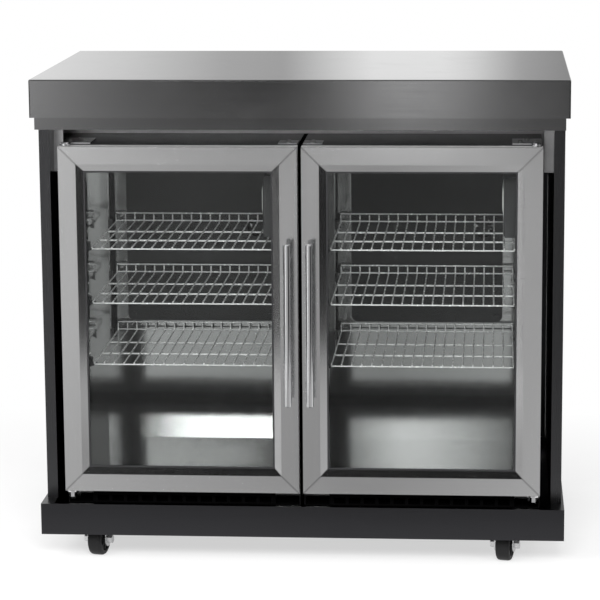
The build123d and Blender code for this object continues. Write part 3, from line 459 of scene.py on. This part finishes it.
def add_wire(mesh, path, radius):
    """Add a round wire along a path, with domed ends."""
    directions = [(b - a).normalized() for a, b in zip(path, path[1:])]
    bends = [(a + b).normalized() for a, b in zip(directions, directions[1:])]
    tangents = [directions[0], *bends, directions[-1]]
    dome = radius / 2
    stations = [(path[0] - tangents[0] * dome, tangents[0], dome)]
    stations += [(point, tangent, radius) for point, tangent in zip(path, tangents)]
    stations.append((path[-1] + tangents[-1] * dome, tangents[-1], dome))
    side = tangents[0].orthogonal().normalized()
    rings = []
    for point, tangent, reach in stations:
        side = (side - tangent * side.dot(tangent)).normalized()
        other = tangent.cross(side)
        ring = []
        for i in range(WIRE_SIDES):
            angle = FULL_TURN * i / WIRE_SIDES
            out = side * math.cos(angle) + other * math.sin(angle)
            ring.append(mesh.verts.new(point + out * reach))
        rings.append(ring)
    join_rings(mesh, rings)


def join_rings(mesh, rings, closed=True):
    """Join rings of points side by side, and close the first and last unless told not to."""
    for lower, upper in zip(rings, rings[1:]):
        for i in range(len(lower)):
            j = (i + 1) % len(lower)
            mesh.faces.new((lower[i], lower[j], upper[j], upper[i]))
    if closed:
        mesh.faces.new(list(reversed(rings[0])))
        mesh.faces.new(rings[-1])


def add_lathe(mesh, profile, place, axis, sides, outline=None):
    """Add a turned form of (radius, height) points, standing at a place along an axis.

    outline, if given, is a function of row and angle that scales the radius there.
    """
    turn = axis.to_track_quat("Z", "Y")
    rings = []
    for row, (radius, height) in enumerate(profile):
        ring = []
        for i in range(sides):
            angle = FULL_TURN * i / sides
            reach = radius * (outline(row, angle) if outline else 1.0)
            point = Vector((reach * math.cos(angle), reach * math.sin(angle), height))
            ring.append(mesh.verts.new(place + turn @ point))
        rings.append(ring)
    join_rings(mesh, rings)


def add_punched_sheet(mesh, columns, rows, holes, place, across, along, thickness):
    """Add a flat sheet on a grid of lines, with some of its cells left open right through it."""
    through = across.cross(along).normalized() * thickness
    corners = {}

    def corner(i, j):
        if (i, j) not in corners:
            corners[i, j] = mesh.verts.new(place + across * columns[i] + along * rows[j])
        return corners[i, j]

    faces = []
    for i in range(len(columns) - 1):
        for j in range(len(rows) - 1):
            if (i, j) not in holes:
                cell = ((i, j), (i + 1, j), (i + 1, j + 1), (i, j + 1))
                faces.append(mesh.faces.new([corner(*point) for point in cell]))
    made = bmesh.ops.extrude_face_region(mesh, geom=faces, use_keep_orig=True)
    moved = [v for v in made["geom"] if isinstance(v, bmesh.types.BMVert)]
    bmesh.ops.translate(mesh, verts=moved, vec=through)


# Pieces

def cross_recess(reach, width):
    """Outline of the cross in a screw head, as a share of the arm's reach."""
    def share(angle):
        off = abs((angle + math.pi / 4) % (math.pi / 2) - math.pi / 4)
        return min(1.0, width / reach / max(math.sin(off), 1e-6))
    return share


def add_screw(mesh, place, axis, radius):
    """Add a domed screw head with a cross in it."""
    arm = radius * 0.62
    share = cross_recess(arm, radius * 0.15)
    head = [
        (radius * 0.96, 0.0), (radius, radius * 0.12), (radius * 0.9, radius * 0.42),
        (arm * 1.08, radius * 0.6),
    ]
    recess = [(arm, radius * 0.6), (arm * 0.9, radius * 0.2)]

    def cross(row, angle):
        return share(angle) if row >= len(head) else 1.0

    add_lathe(mesh, head + recess, place, axis, 32, cross)


def add_hex_bolt(mesh, place, axis, radius):
    """Add a washer and a hexagon head with a chamfered rim."""
    washer = [(radius * 1.5, 0.0), (radius * 1.5, radius * 0.22), (radius * 1.05, radius * 0.25)]
    head = [(radius, radius * 0.26), (radius, radius * 0.85), (radius * 0.86, radius)]

    def hexagon(row, angle):
        if row < len(washer):
            return 1.0
        return math.cos(math.pi / 6) / math.cos(angle % (math.pi / 3) - math.pi / 6)

    add_lathe(mesh, washer + head, place, axis, 24, hexagon)


class FridgeSizes(bpy.types.PropertyGroup):
    wire: FloatProperty(
        name="Shelf wire", description="Diameter of the wires that run front to back",
        default=0.003, min=0.001, max=0.006, unit="LENGTH")
    cross_wire: FloatProperty(
        name="Cross wire", description="Diameter of the wires under the others",
        default=0.0036, min=0.001, max=0.008, unit="LENGTH")
    wire_count: IntProperty(
        name="Wires", description="Wires from front to back in one shelf", default=19, min=3, max=60)
    shelf_rise: FloatProperty(
        name="Shelf upstand", description="Height of the bent-up back of a shelf",
        default=0.019, min=0.0, max=0.06, unit="LENGTH")
    bend: FloatProperty(
        name="Wire bend", description="Radius of the bend at the back of a shelf",
        default=0.006, min=0.003, max=0.02, unit="LENGTH")
    upright: FloatProperty(
        name="Upright", description="Width of a shelf upright, and how far it stands off the wall",
        default=0.016, min=0.008, max=0.03, unit="LENGTH")
    sheet: FloatProperty(
        name="Upright sheet", description="Thickness of a shelf upright's sheet",
        default=0.0012, min=0.0005, max=0.003, unit="LENGTH")
    slot_pitch: FloatProperty(
        name="Slot pitch", description="Distance from one slot to the next",
        default=0.015, min=0.008, max=0.05, unit="LENGTH")
    slot_height: FloatProperty(
        name="Slot height", description="Height of a slot",
        default=0.009, min=0.003, max=0.02, unit="LENGTH")
    slot_width: FloatProperty(
        name="Slot width", description="Width of a slot",
        default=0.005, min=0.001, max=0.012, unit="LENGTH")
    tyre_width: FloatProperty(
        name="Tyre width", description="Width of a caster's wheel at its rim",
        default=0.027, min=0.01, max=0.05, unit="LENGTH")
    hub_width: FloatProperty(
        name="Hub width", description="Width of a caster's wheel at its hub",
        default=0.031, min=0.01, max=0.06, unit="LENGTH")
    handle_post: FloatProperty(
        name="Handle post", description="Radius of the posts that hold a handle",
        default=0.005, min=0.002, max=0.007, unit="LENGTH")
    handle_inset: FloatProperty(
        name="Handle post inset", description="Distance from a handle's end to its post",
        default=0.032, min=0.01, max=0.1, unit="LENGTH")
    pane_bite: FloatProperty(
        name="Pane bite", description="How far a pane reaches in behind the door frame",
        default=0.0137, min=0.003, max=0.03, unit="LENGTH")
    bead: FloatProperty(
        name="Pane bead", description="Width of the black bead round a pane",
        default=0.0035, min=0.001, max=0.008, unit="LENGTH")
    cable_hole: FloatProperty(
        name="Cable hole", description="Radius of the cable hole in the back panel",
        default=0.018, min=0.005, max=0.04, unit="LENGTH")
    cable_height: FloatProperty(
        name="Cable hole height", description="Height of the cable hole above the floor",
        default=0.19, min=0.1, max=0.6, unit="LENGTH")
    screw: FloatProperty(
        name="Screw head", description="Radius of the cross-head screws",
        default=0.0042, min=0.002, max=0.01, unit="LENGTH")
    bolt: FloatProperty(
        name="Bolt head", description="Radius of the hexagon bolts of the casters",
        default=0.0055, min=0.002, max=0.01, unit="LENGTH")


class FridgeColours(bpy.types.PropertyGroup):
    black_stainless: FloatVectorProperty(
        name="Black stainless", description="Colour of the side and back panels",
        default=(0.075, 0.075, 0.078, 1.0), subtype="COLOR", size=4, min=0.0, max=1.0)
    # Darkened for the rails under the worktop, as painted shade under its lip
    worktop: FloatVectorProperty(
        name="Worktop", description="Colour of the worktop, and darker of the rails under it",
        default=(0.22, 0.22, 0.222, 1.0), subtype="COLOR", size=4, min=0.0, max=1.0)
    plinth: FloatVectorProperty(
        name="Plinth", description="Colour of the base",
        default=(0.04, 0.04, 0.043, 1.0), subtype="COLOR", size=4, min=0.0, max=1.0)
    door_steel: FloatVectorProperty(
        name="Door frames", description="Colour of the brushed door frames",
        default=(0.66, 0.66, 0.662, 1.0), subtype="COLOR", size=4, min=0.0, max=1.0)
    lining: FloatVectorProperty(
        name="Lining", description="Colour of the steel inside",
        default=(0.7, 0.7, 0.7, 1.0), subtype="COLOR", size=4, min=0.0, max=1.0)
    case: FloatVectorProperty(
        name="Case", description="Colour of the outer case of each fridge",
        default=(0.006, 0.006, 0.0065, 1.0), subtype="COLOR", size=4, min=0.0, max=1.0)
    zinc: FloatVectorProperty(
        name="Zinc plate", description="Colour of the brackets and casters",
        default=(0.55, 0.55, 0.555, 1.0), subtype="COLOR", size=4, min=0.0, max=1.0)
    chrome: FloatVectorProperty(
        name="Chrome", description="Colour of the hinges and handles",
        default=(0.72, 0.72, 0.73, 1.0), subtype="COLOR", size=4, min=0.0, max=1.0)
    wire: FloatVectorProperty(
        name="Shelf wire", description="Colour of the plated shelf wires",
        default=(0.78, 0.78, 0.78, 1.0), subtype="COLOR", size=4, min=0.0, max=1.0)
    core: FloatVectorProperty(
        name="Door core", description="Colour of the plastic behind the door frames",
        default=(0.42, 0.42, 0.42, 1.0), subtype="COLOR", size=4, min=0.0, max=1.0)
    plastic: FloatVectorProperty(
        name="Black plastic", description="Colour of the clips, seals and tyres",
        default=(0.016, 0.016, 0.017, 1.0), subtype="COLOR", size=4, min=0.0, max=1.0)
    cover: FloatVectorProperty(
        name="Covers", description="Colour of the covers inside",
        default=(0.016, 0.016, 0.0165, 1.0), subtype="COLOR", size=4, min=0.0, max=1.0)
    foam: FloatVectorProperty(
        name="Foam", description="Colour of the foam between the walls",
        default=(0.78, 0.72, 0.55, 1.0), subtype="COLOR", size=4, min=0.0, max=1.0)
    glass: FloatVectorProperty(
        name="Glass", description="Tint of one pane",
        default=(0.965, 0.97, 0.968, 1.0), subtype="COLOR", size=4, min=0.0, max=1.0)


class FRIDGE_OT_finishes(bpy.types.Operator):
    """Make the finishes and give each solid its own"""

    bl_idname = "fridge.finishes"
    bl_label = "Finishes"

    def execute(self, context):
        FINISHES.update(make_finishes(context.scene.fridge_colours))
        for name, node in frame["nodes"].items():
            node.data.materials.clear()
            node.data.materials.append(FINISHES[finish_of(name)])
        return {"FINISHED"}


class FRIDGE_OT_shelves(bpy.types.Operator):
    """Build the six wire shelves from round wire"""

    bl_idname = "fridge.shelves"
    bl_label = "Wire shelves"

    def execute(self, context):
        sizes = context.scene.fridge_sizes
        for level in LEVELS:
            for side in SIDES:
                node = f"shelf_{level}_{side}"
                piece(f"wire_{node}", self.grid(node, sizes), body_of_node(node), "wire", [node])
        return {"FINISHED"}

    def grid(self, node, sizes):
        """Wires from front to back, bent up behind, and the wires that hold them together."""
        low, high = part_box(node)
        r, cross = sizes.wire / 2, sizes.cross_wire / 2
        top, deck = high.z - r, high.z - sizes.shelf_rise
        first, last = low.x + r, high.x - r
        mesh = bmesh.new()
        pitch = (last - first) / (sizes.wire_count - 1)
        for i in range(sizes.wire_count):
            x = first + i * pitch
            corners = [(low.y + r, deck), (high.y - r, deck), (high.y - r, top - 2 * r)]
            path = rounded([Vector((x, y, z)) for y, z in corners], sizes.bend)
            add_wire(mesh, path, r)
        # Under the front ends, along the top of the upstand, in its bend and twice under the deck
        rails = [(low.y + 2 * r, deck - 2 * r, r), (high.y - r, top, r), (high.y - 3 * r, deck + 2 * r, r)]
        depth = high.y - low.y
        rails += [(low.y + depth * share - cross, deck - r - cross, cross) for share in (1 / 3, 2 / 3)]
        for y, z, radius in rails:
            add_wire(mesh, [Vector((first, y, z)), Vector((last, y, z))], radius)
        return mesh


class FRIDGE_OT_pilasters(bpy.types.Operator):
    """Build the slotted uprights that the shelf clips hook into"""

    bl_idname = "fridge.pilasters"
    bl_label = "Shelf uprights"

    def execute(self, context):
        sizes = context.scene.fridge_sizes
        low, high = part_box("shelf_pilasters")
        mesh = bmesh.new()
        for side in SIDES:
            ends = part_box(f"liner_{side}")
            centre = (ends[0].x + ends[1].x) / 2
            reach = high.x - abs(centre)
            for hand in SIDES.values():
                wall = centre + hand * reach
                for front in (low.y, high.y - sizes.upright):
                    self.upright(mesh, wall, hand, front, low.z, high.z - low.z, sizes)
        piece("slotted_uprights", mesh, "cabinet", "lining", ["shelf_pilasters"], 30)
        return {"FINISHED"}

    def upright(self, mesh, wall, hand, front, foot, height, sizes):
        """A channel: a slotted face, and a side folded back to the wall along each of its edges."""
        width, sheet = sizes.upright, sizes.sheet
        count = int((height - sizes.slot_pitch) / sizes.slot_pitch)
        start = (height - (count - 1) * sizes.slot_pitch - sizes.slot_height) / 2
        rows = [0.0]
        for i in range(count):
            slot = start + i * sizes.slot_pitch
            rows += [slot, slot + sizes.slot_height]
        rows.append(height)
        columns = [0.0, (width - sizes.slot_width) / 2, (width + sizes.slot_width) / 2, width]
        holes = {(1, 2 * i + 1) for i in range(count)}
        face = Vector((wall - hand * width, front, foot))
        add_punched_sheet(mesh, columns, rows, holes, face, BACK, UP, sheet * hand)
        columns, rows, outward = [0.0, width - sheet], [0.0, height], Vector((hand, 0, 0))
        for y in (front, front + width - sheet):
            corner = Vector((wall - hand * (width - sheet), y, foot))
            add_punched_sheet(mesh, columns, rows, (), corner, outward, UP, -sheet * hand)


class FRIDGE_OT_handles(bpy.types.Operator):
    """Build the two bar handles, turned, on their posts"""

    bl_idname = "fridge.handles"
    bl_label = "Handles"

    def execute(self, context):
        sizes = context.scene.fridge_sizes
        for side in SIDES:
            node = f"door_handle_{side}"
            low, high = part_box(node)
            r, length = (high.x - low.x) / 2, high.z - low.z
            chamfer, sunk = r * 0.13, r * 0.1
            foot = Vector((low.x + r, low.y + r, low.z))
            mesh = bmesh.new()
            bar = [(r - chamfer, 0.0), (r, chamfer), (r, length - chamfer), (r - chamfer, length)]
            add_lathe(mesh, bar, foot, UP, 64)
            post = [(sizes.handle_post, r - sunk), (sizes.handle_post, high.y - foot.y)]
            for inset in (sizes.handle_inset, length - sizes.handle_inset):
                add_lathe(mesh, post, foot + UP * inset, BACK, 32)
            piece(f"bar_{node}", mesh, body_of_node(node), "handle", [node])
        return {"FINISHED"}


# Radii of a caster's wheel: its bore, the outside of its hub and the inside of its rim
BORE, HUB_RADIUS, RIM_RADIUS = 0.0042, 0.012, 0.0215
# Depth of the web between hub and rim under the wheel's face, and the ribs on it
WEB_DEPTH, RIBS, RIB_WIDTH = 0.003, 6, 0.0026


class FRIDGE_OT_wheels(bpy.types.Operator):
    """Build the casters' wheels, with a tyre, a ribbed core and a hub"""

    bl_idname = "fridge.wheels"
    bl_label = "Wheels"

    def execute(self, context):
        sizes = context.scene.fridge_sizes
        for name in CASTERS:
            self.wheel(f"caster_wheel_{name}", sizes.tyre_width / 2, sizes.hub_width / 2)
        return {"FINISHED"}

    def wheel(self, node, rim, hub):
        """One wheel on the axis that it turns about, from half its widths at the rim and the hub."""
        low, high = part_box(node)
        turning = next(joint for joint in frame["joints"] if joint["name"] == node)
        centre, axis = Vector(turning["pos_m"]), Vector(turning["axis"])
        tread = (high.z - low.z) / 2
        half_profile = [
            (BORE, -hub), (HUB_RADIUS - 0.0015, -hub), (HUB_RADIUS - 0.0005, -hub + 0.0008),
            (HUB_RADIUS, -rim + WEB_DEPTH), (RIM_RADIUS, -rim + WEB_DEPTH),
            (RIM_RADIUS + 0.001, -rim + 0.0006), (RIM_RADIUS + 0.002, -rim), (tread - 0.0042, -rim),
            (tread - 0.0018, -rim + 0.0012), (tread - 0.0004, -rim + 0.0036), (tread, -rim + 0.0065),
        ]
        other_half = [(radius, -height) for radius, height in reversed(half_profile)]
        mesh = bmesh.new()
        add_lathe(mesh, half_profile + other_half, centre, axis, 64)
        turn = axis.to_track_quat("Z", "Y")
        for face in (-1, 1):
            for i in range(RIBS):
                spin = Matrix.Rotation(FULL_TURN * (i + 0.5) / RIBS, 3, "Z")
                self.rib(mesh, centre, turn.to_matrix() @ spin, face, rim)
        piece(f"tyre_{node}", mesh, body_of_node(node), "tyre", [node], 35)

    def rib(self, mesh, centre, turn, face, rim):
        """One of the raised ribs, with its ends just inside the hub and the rim."""
        half, low, high = RIB_WIDTH / 2, rim - WEB_DEPTH - 0.0002, rim - 0.0008
        ends = []
        for x, wide in ((HUB_RADIUS - 0.0002, half * 1.3), (RIM_RADIUS + 0.0007, half)):
            corners = [(-wide, low), (wide, low), (wide * 0.7, high), (-wide * 0.7, high)]
            ends.append([mesh.verts.new(centre + turn @ Vector((x, y, z * face))) for y, z in corners])
        join_rings(mesh, ends)


# Screws in from a case's side and back from its front, and the thickness of their plate
HINGE_SCREWS = ((0.014, 0.03), (0.042, 0.03), (0.028, 0.06))
HINGE_PLATE = 0.0025
BLANK_SCREWS = ((0.019, 0.014), (0.019, 0.036))
BLANK_PLATE = 0.0015
# Size of the smaller fasteners, as a share of the others
SMALL = 0.8


class FRIDGE_OT_fasteners(bpy.types.Operator):
    """Add the screws of the panels, hinges and fittings and the bolts of the casters"""

    bl_idname = "fridge.fasteners"
    bl_label = "Fasteners"

    def execute(self, context):
        sizes = context.scene.fridge_sizes
        self.back_screws(sizes)
        self.hinge_screws(sizes)
        self.cover_screws(sizes)
        self.plate_bolts(sizes)
        return {"FINISHED"}

    def back_screws(self, sizes):
        low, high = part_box("back_panel")
        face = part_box("side_panel_left")[1].y
        edge, inner = 0.012, 0.24
        mesh = bmesh.new()
        for z in (low.z + edge, high.z - edge):
            for x in (low.x + edge, -inner, 0.0, inner, high.x - edge):
                add_screw(mesh, Vector((x, face, z)), BACK, sizes.screw)
        for x in (low.x + edge, high.x - edge):
            add_screw(mesh, Vector((x, face, (low.z + high.z) / 2)), BACK, sizes.screw)
        piece("back_panel_screws", mesh, "cabinet", "upright_black")

    def hinge_screws(self, sizes):
        """Screws of the top hinge plates, and of the blanking plates at the other front corners."""
        mesh = bmesh.new()
        for side, hand in SIDES.items():
            low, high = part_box(f"case_{side}")
            outer, inner = (high.x, low.x) if hand > 0 else (low.x, high.x)
            places = [(outer - hand * inward, back, HINGE_PLATE) for inward, back in HINGE_SCREWS]
            places += [(inner + hand * inward, back, BLANK_PLATE) for inward, back in BLANK_SCREWS]
            for x, back, plate in places:
                add_screw(mesh, Vector((x, low.y + back, high.z + plate)), UP, sizes.screw)
        piece("hinge_screws", mesh, "cabinet", "zinc")

    def cover_screws(self, sizes):
        low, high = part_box("evaporator_covers")
        down, reach = 0.014, 0.14
        mesh = bmesh.new()
        for side in SIDES:
            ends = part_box(f"case_{side}")
            for x in (-reach, reach):
                place = Vector(((ends[0].x + ends[1].x) / 2 + x, low.y, high.z - down))
                add_screw(mesh, place, FRONT, sizes.screw * SMALL)
        piece("cover_screws", mesh, "cabinet", "zinc")

    def plate_bolts(self, sizes):
        """Four bolts in each of the square plates of the casters, from below."""
        low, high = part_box("caster_plates")
        half_plate, thickness, reach = 0.03, 0.003, 0.023
        corners = [(across, along) for across in (-reach, reach) for along in (-reach, reach)]
        mesh = bmesh.new()
        for x in (low.x + half_plate, high.x - half_plate):
            for y in (low.y + half_plate, high.y - half_plate):
                for across, along in corners:
                    place = Vector((x + across, y + along, high.z - thickness))
                    add_hex_bolt(mesh, place, DOWN, sizes.bolt * SMALL)
        piece("caster_bolts", mesh, "cabinet", "zinc")


class FRIDGE_OT_seals(bpy.types.Operator):
    """Add the black bead round each pane and the rubber grommet of the cable hole"""

    bl_idname = "fridge.seals"
    bl_label = "Seals"

    def execute(self, context):
        sizes = context.scene.fridge_sizes
        for side in SIDES:
            low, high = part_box(f"door_glass_{side}")
            bite = Vector((sizes.pane_bite, 0, sizes.pane_bite))
            mesh = bmesh.new()
            self.bead(mesh, low + bite, high - bite, low.y, sizes.bead)
            piece(f"pane_bead_{side}", mesh, f"door_{side}", "gasket")
        self.grommet(sizes)
        return {"FINISHED"}

    def bead(self, mesh, low, high, face, width):
        """A half-round strip round the edge of the opening, on the face of the pane."""
        loops = []
        # Each edge of the strip, as shares of its width inwards and out from the pane
        for inwards, out in ((0.0, 0.0), (0.0, 0.35), (0.3, 0.5), (0.8, 0.4), (1.0, 0.0)):
            y, left, right = face - out * width, low.x + inwards * width, high.x - inwards * width
            bottom, top = low.z + inwards * width, high.z - inwards * width
            corners = ((left, bottom), (right, bottom), (right, top), (left, top))
            loops.append([mesh.verts.new(Vector((x, y, z))) for x, z in corners])
        join_rings(mesh, loops + loops[:1], False)

    def grommet(self, sizes):
        """A ring that grips the edge of the hole, with a thin web across it."""
        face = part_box("side_panel_left")[1].y
        place = Vector((0, face, sizes.cable_height))
        # Shares of the hole's radius, and metres out from the panel
        section = [
            (0.01, -0.0008), (0.8, -0.0008), (0.86, -0.003), (0.96, -0.003), (0.96, 0.0002), (1.22, 0.0002),
            (1.24, 0.0012), (1.18, 0.0028), (0.98, 0.0034), (0.86, 0.0022), (0.8, 0.0008), (0.01, 0.0008),
        ]
        mesh = bmesh.new()
        add_lathe(mesh, [(sizes.cable_hole * share, out) for share, out in section], place, BACK, 48)
        piece("cable_grommet", mesh, "cabinet", "gasket")


class FRIDGE_OT_lamps(bpy.types.Operator):
    """Add the ribbed lens of the lamp in each fridge"""

    bl_idname = "fridge.lamps"
    bl_label = "Lamp lenses"

    def execute(self, context):
        low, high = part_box("light_boxes")
        box_width, margin, knob_room = 0.046, 0.012, 0.035
        front, back = low.y + margin, high.y - margin
        bottom, top = low.z + knob_room, high.z - margin
        for side in SIDES:
            face = high.x - box_width if side == "right" else low.x
            mesh = bmesh.new()
            self.lens(mesh, face, front, back, bottom, top)
            piece(f"lamp_lens_{side}", mesh, "cabinet", "lens")
        return {"FINISHED"}

    def lens(self, mesh, face, front, back, bottom, top):
        """A lens that swells out of the box, with a ridge on every second row."""
        count, swell, ridge, shoulder = 48, 0.0022, 0.0007, 0.004
        rows = []
        for i in range(count + 1):
            z = bottom + (top - bottom) * i / count
            out = swell + (ridge if i % 2 else 0.0)
            out *= min(1.0, 4 * min(i, count - i) / count)
            section = ((0.0, front), (out, front + shoulder), (out, back - shoulder), (0.0, back))
            rows.append([mesh.verts.new(Vector((face - proud, y, z))) for proud, y in section])
        join_rings(mesh, rows)


# Greys across the cards, each with its distance from the card's middle along X, or along Y at the sides
FRONT_FLOOR = ((-2.0, 0.6), (-0.9, 0.64), (-0.3, 0.44), (0.1, 0.34), (0.5, 0.53), (2.0, 0.56))
FRONT_WALL = ((-1.9, 1.4), (-1.5, 0.6), (-1.1, 0.24), (-0.6, 0.06), (-0.38, 0.2), (-0.05, 1.7),
              (0.15, 1.25), (0.45, 0.2), (1.2, 0.2))
BACK_WALL = ((-2.1, 1.1), (-1.5, 0.85), (-1.0, 0.55), (-0.7, 0.5), (-0.45, 0.85), (-0.25, 1.1),
             (0.1, 1.1), (0.25, 0.95), (0.5, 0.5), (0.75, 0.36), (1.5, 0.5))
SIDE_WALL = ((-1.2, 0.3), (0.4, 0.08), (1.2, 0.08))
DARK = ((0.0, 0.015),)


class FridgeStage(bpy.types.PropertyGroup):
    lens: FloatProperty(
        name="Lens", description="Focal length of the camera, in millimetres",
        default=153.56, min=20.0, max=400.0)
    key: FloatProperty(
        name="Key light", description="Power of the large lamp",
        default=150.0, min=0.0, subtype="POWER")
    fill: FloatProperty(
        name="Fill light", description="Power of the second lamp",
        default=60.0, min=0.0, subtype="POWER")
    front: FloatProperty(
        name="Front light", description="Power of the lamp that looks into the fridges",
        default=130.0, min=0.0, subtype="POWER")
    room: FloatProperty(
        name="Room light", description="Strength of the light from all round",
        default=0.6, min=0.0, max=2.0)


class FRIDGE_OT_stage(bpy.types.Operator):
    """Add the floor, the lamps, the cards that shape the metal, and the camera"""

    bl_idname = "fridge.stage"
    bl_label = "Stage"

    def execute(self, context):
        stage = context.scene.fridge_stage
        self.floor()
        self.world(context.scene, stage.room)
        self.lamp("key", (-2.6, -3.2, 2.6), (2.4, 1.8), stage.key)
        self.lamp("fill", (2.8, -2.6, 1.6), (1.2, 2.2), stage.fill)
        self.lamp("front", (0.2, -3.4, 2.0), (1.4, 0.8), stage.front)
        self.cards()
        self.camera(context.scene, stage.lens)
        context.scene.view_settings.view_transform = "Standard"
        return {"FINISHED"}

    def floor(self):
        """A pale floor that turns white away from the object, where its shadow ends."""
        bpy.ops.mesh.primitive_plane_add(size=60)
        floor = bpy.context.object
        floor.name = "floor"
        finish = Finish("pale_floor")
        specks = finish.noise((40.0, 40.0, 40.0), 3.0)
        tone = finish.mix(specks, (0.86, 0.86, 0.86, 1.0), (0.9, 0.9, 0.9, 1.0))
        matt = finish.surface(base_color=tone, roughness=0.8)
        away = (abs(finish.axis("X")) - CAD_BOX[1][0]) | (abs(finish.axis("Y")) - CAD_BOX[1][1])
        white = finish.ramp(away, (0.0, 0.6), (0.7, 1.0))
        seen = finish.rays("Camera", "Glossy", "Transmission") * white
        floor.data.materials.append(finish.done(finish.blend(seen, matt, finish.glow((1, 1, 1, 1), 1.0))))

    def world(self, scene, strength):
        """Even light from all round, behind a background that is seen as white."""
        finish = Finish("studio", bpy.data.worlds.new("studio"))
        scene.world = finish.owner
        room = finish.node("ShaderNodeBackground", None, {"Color": (1, 1, 1, 1), "Strength": strength})
        white = finish.node("ShaderNodeBackground", None, {"Color": (1, 1, 1, 1), "Strength": 1.0})
        seen = finish.rays("Camera", "Glossy", "Transmission")
        finish.done(finish.blend(seen, room, white), "ShaderNodeOutputWorld")

    def cards(self):
        """Add the pale and dark cards round the object that only its gloss sees."""
        level, sideways, left_turned, right_turned = (1, 0, 0), (0, -1, 0), (-1, 0.2, 0), (1, 0.15, 0)
        # The floor and the walls of the room
        self.card("front_floor", (0, -3.7, 0.004), level, BACK, (8, 6.2), FRONT_FLOOR)
        self.card("front_wall", (0, -6.8, 1.6), level, UP, (9, 3.2), FRONT_WALL)
        self.card("back_wall", (0, 8.0, 1.6), level, UP, (9, 3.2), BACK_WALL)
        self.card("right_side", (1.82, -0.4, 0.5), sideways, UP, (2.4, 1.0), SIDE_WALL)
        self.card("left_side", (-1.86, -0.1, 0.5), sideways, UP, (2.4, 1.0), SIDE_WALL)
        # Dark flags beside and over the doors, each side one with a pale strip before it
        self.card("right_flag", (1.2, -1.66, 0.4), right_turned, UP, (1.24, 0.8), DARK)
        self.card("left_flag", (-1.35, -1.37, 0.4), left_turned, UP, (1.0, 0.8), DARK)
        self.card("top_flag", (0, -2.95, 2.0), level, BACK, (3, 4.1), DARK)
        self.card("left_strip", (-1.1, -1.34, 0.35), left_turned, UP, (0.3, 0.7), ((0.0, 2.4),))
        self.card("right_strip", (0.63, -1.77, 0.35), right_turned, UP, (0.06, 0.7), ((0.0, 4.0),))
        # Windows that the linings mirror
        self.card("low_window", (-0.68, -4.9, 1.13), level, UP, (0.5, 0.1), ((0.0, 12.0),))
        self.card("high_window", (-0.9, -4.9, 1.72), level, UP, (0.6, 0.12), ((0.0, 1.6),))

    def card(self, name, place, across, along, size, greys):
        """Add a card of a width and height, with its grey changing from side to side."""
        across = Vector(across).normalized() * size[0] / 2
        along = along * size[1] / 2
        data = bpy.data.meshes.new(name)
        corners = [across * u + along * v for u, v in ((-1, -1), (1, -1), (1, 1), (-1, 1))]
        data.from_pydata(corners, [], [(0, 1, 2, 3)])
        made = bpy.data.objects.new(name, data)
        made.location = place
        bpy.context.collection.objects.link(made)
        finish = Finish(f"{name}_card")
        brightest = max(grey for _, grey in greys)
        stops = [((x + size[0] / 2) / size[0], grey / brightest) for x, grey in greys]
        letter = "X" if abs(across.x) > abs(across.y) else "Y"
        tone = finish.ramp(finish.axis(letter) * (1 / size[0]) + 0.5, *stops)
        data.materials.append(finish.done(finish.glow(tone, brightest)))
        finish.owner.cycles.emission_sampling = "NONE"
        for kind in ("camera", "diffuse", "shadow", "transmission", "volume_scatter"):
            setattr(made, f"visible_{kind}", False)

    def lamp(self, name, place, size, power):
        """Add a lamp that looks at the middle of the object and shows in no reflection."""
        target = Vector((0, 0, 0.5))
        light = bpy.data.lights.new(name, "AREA")
        light.shape = "RECTANGLE"
        light.size, light.size_y = size
        light.energy = power
        made = bpy.data.objects.new(name, light)
        made.visible_glossy = False
        made.location = place
        made.rotation_euler = (target - Vector(place)).to_track_quat("-Z", "Y").to_euler()
        bpy.context.collection.objects.link(made)

    def camera(self, scene, lens):
        data = bpy.data.cameras.new("camera")
        data.lens = lens
        made = bpy.data.objects.new("camera", data)
        place = (0.35729, -4.96168, 1.39354)
        yaw, pitch, roll = 0.0759, -0.1855, -0.0072
        turn = Matrix.Rotation(yaw, 4, "Z") @ Matrix.Rotation(math.pi / 2 + pitch, 4, "X")
        made.matrix_world = Matrix.Translation(place) @ turn @ Matrix.Rotation(roll, 4, "Z")
        scene.collection.objects.link(made)
        scene.camera = made


class FRIDGE_PT_panel(bpy.types.Panel):
    """The refrigerator's sizes, colours and pieces"""

    bl_label = "Refrigerator"
    bl_space_type = "VIEW_3D"
    bl_region_type = "UI"
    bl_category = "Refrigerator"

    def draw(self, context):
        for group in (context.scene.fridge_sizes, context.scene.fridge_colours, context.scene.fridge_stage):
            box = self.layout.box()
            for name in group.__annotations__:
                box.prop(group, name)
        for operator in OPERATORS:
            self.layout.operator(operator.bl_idname)


OPERATORS = (
    FRIDGE_OT_finishes, FRIDGE_OT_shelves, FRIDGE_OT_pilasters, FRIDGE_OT_handles, FRIDGE_OT_wheels,
    FRIDGE_OT_fasteners, FRIDGE_OT_seals, FRIDGE_OT_lamps, FRIDGE_OT_stage,
)
GROUPS = {"fridge_sizes": FridgeSizes, "fridge_colours": FridgeColours, "fridge_stage": FridgeStage}


def register():
    for made in (*GROUPS.values(), *OPERATORS, FRIDGE_PT_panel):
        bpy.utils.register_class(made)
    for name, group in GROUPS.items():
        setattr(bpy.types.Scene, name, PointerProperty(type=group))


def unregister():
    for name in GROUPS:
        delattr(bpy.types.Scene, name)
    for made in reversed((*GROUPS.values(), *OPERATORS, FRIDGE_PT_panel)):
        bpy.utils.unregister_class(made)


def main():
    register()
    for operator in OPERATORS:
        family, name = operator.bl_idname.split(".")
        getattr(getattr(bpy.ops, family), name)()


if __name__ == "__main__":
    main()
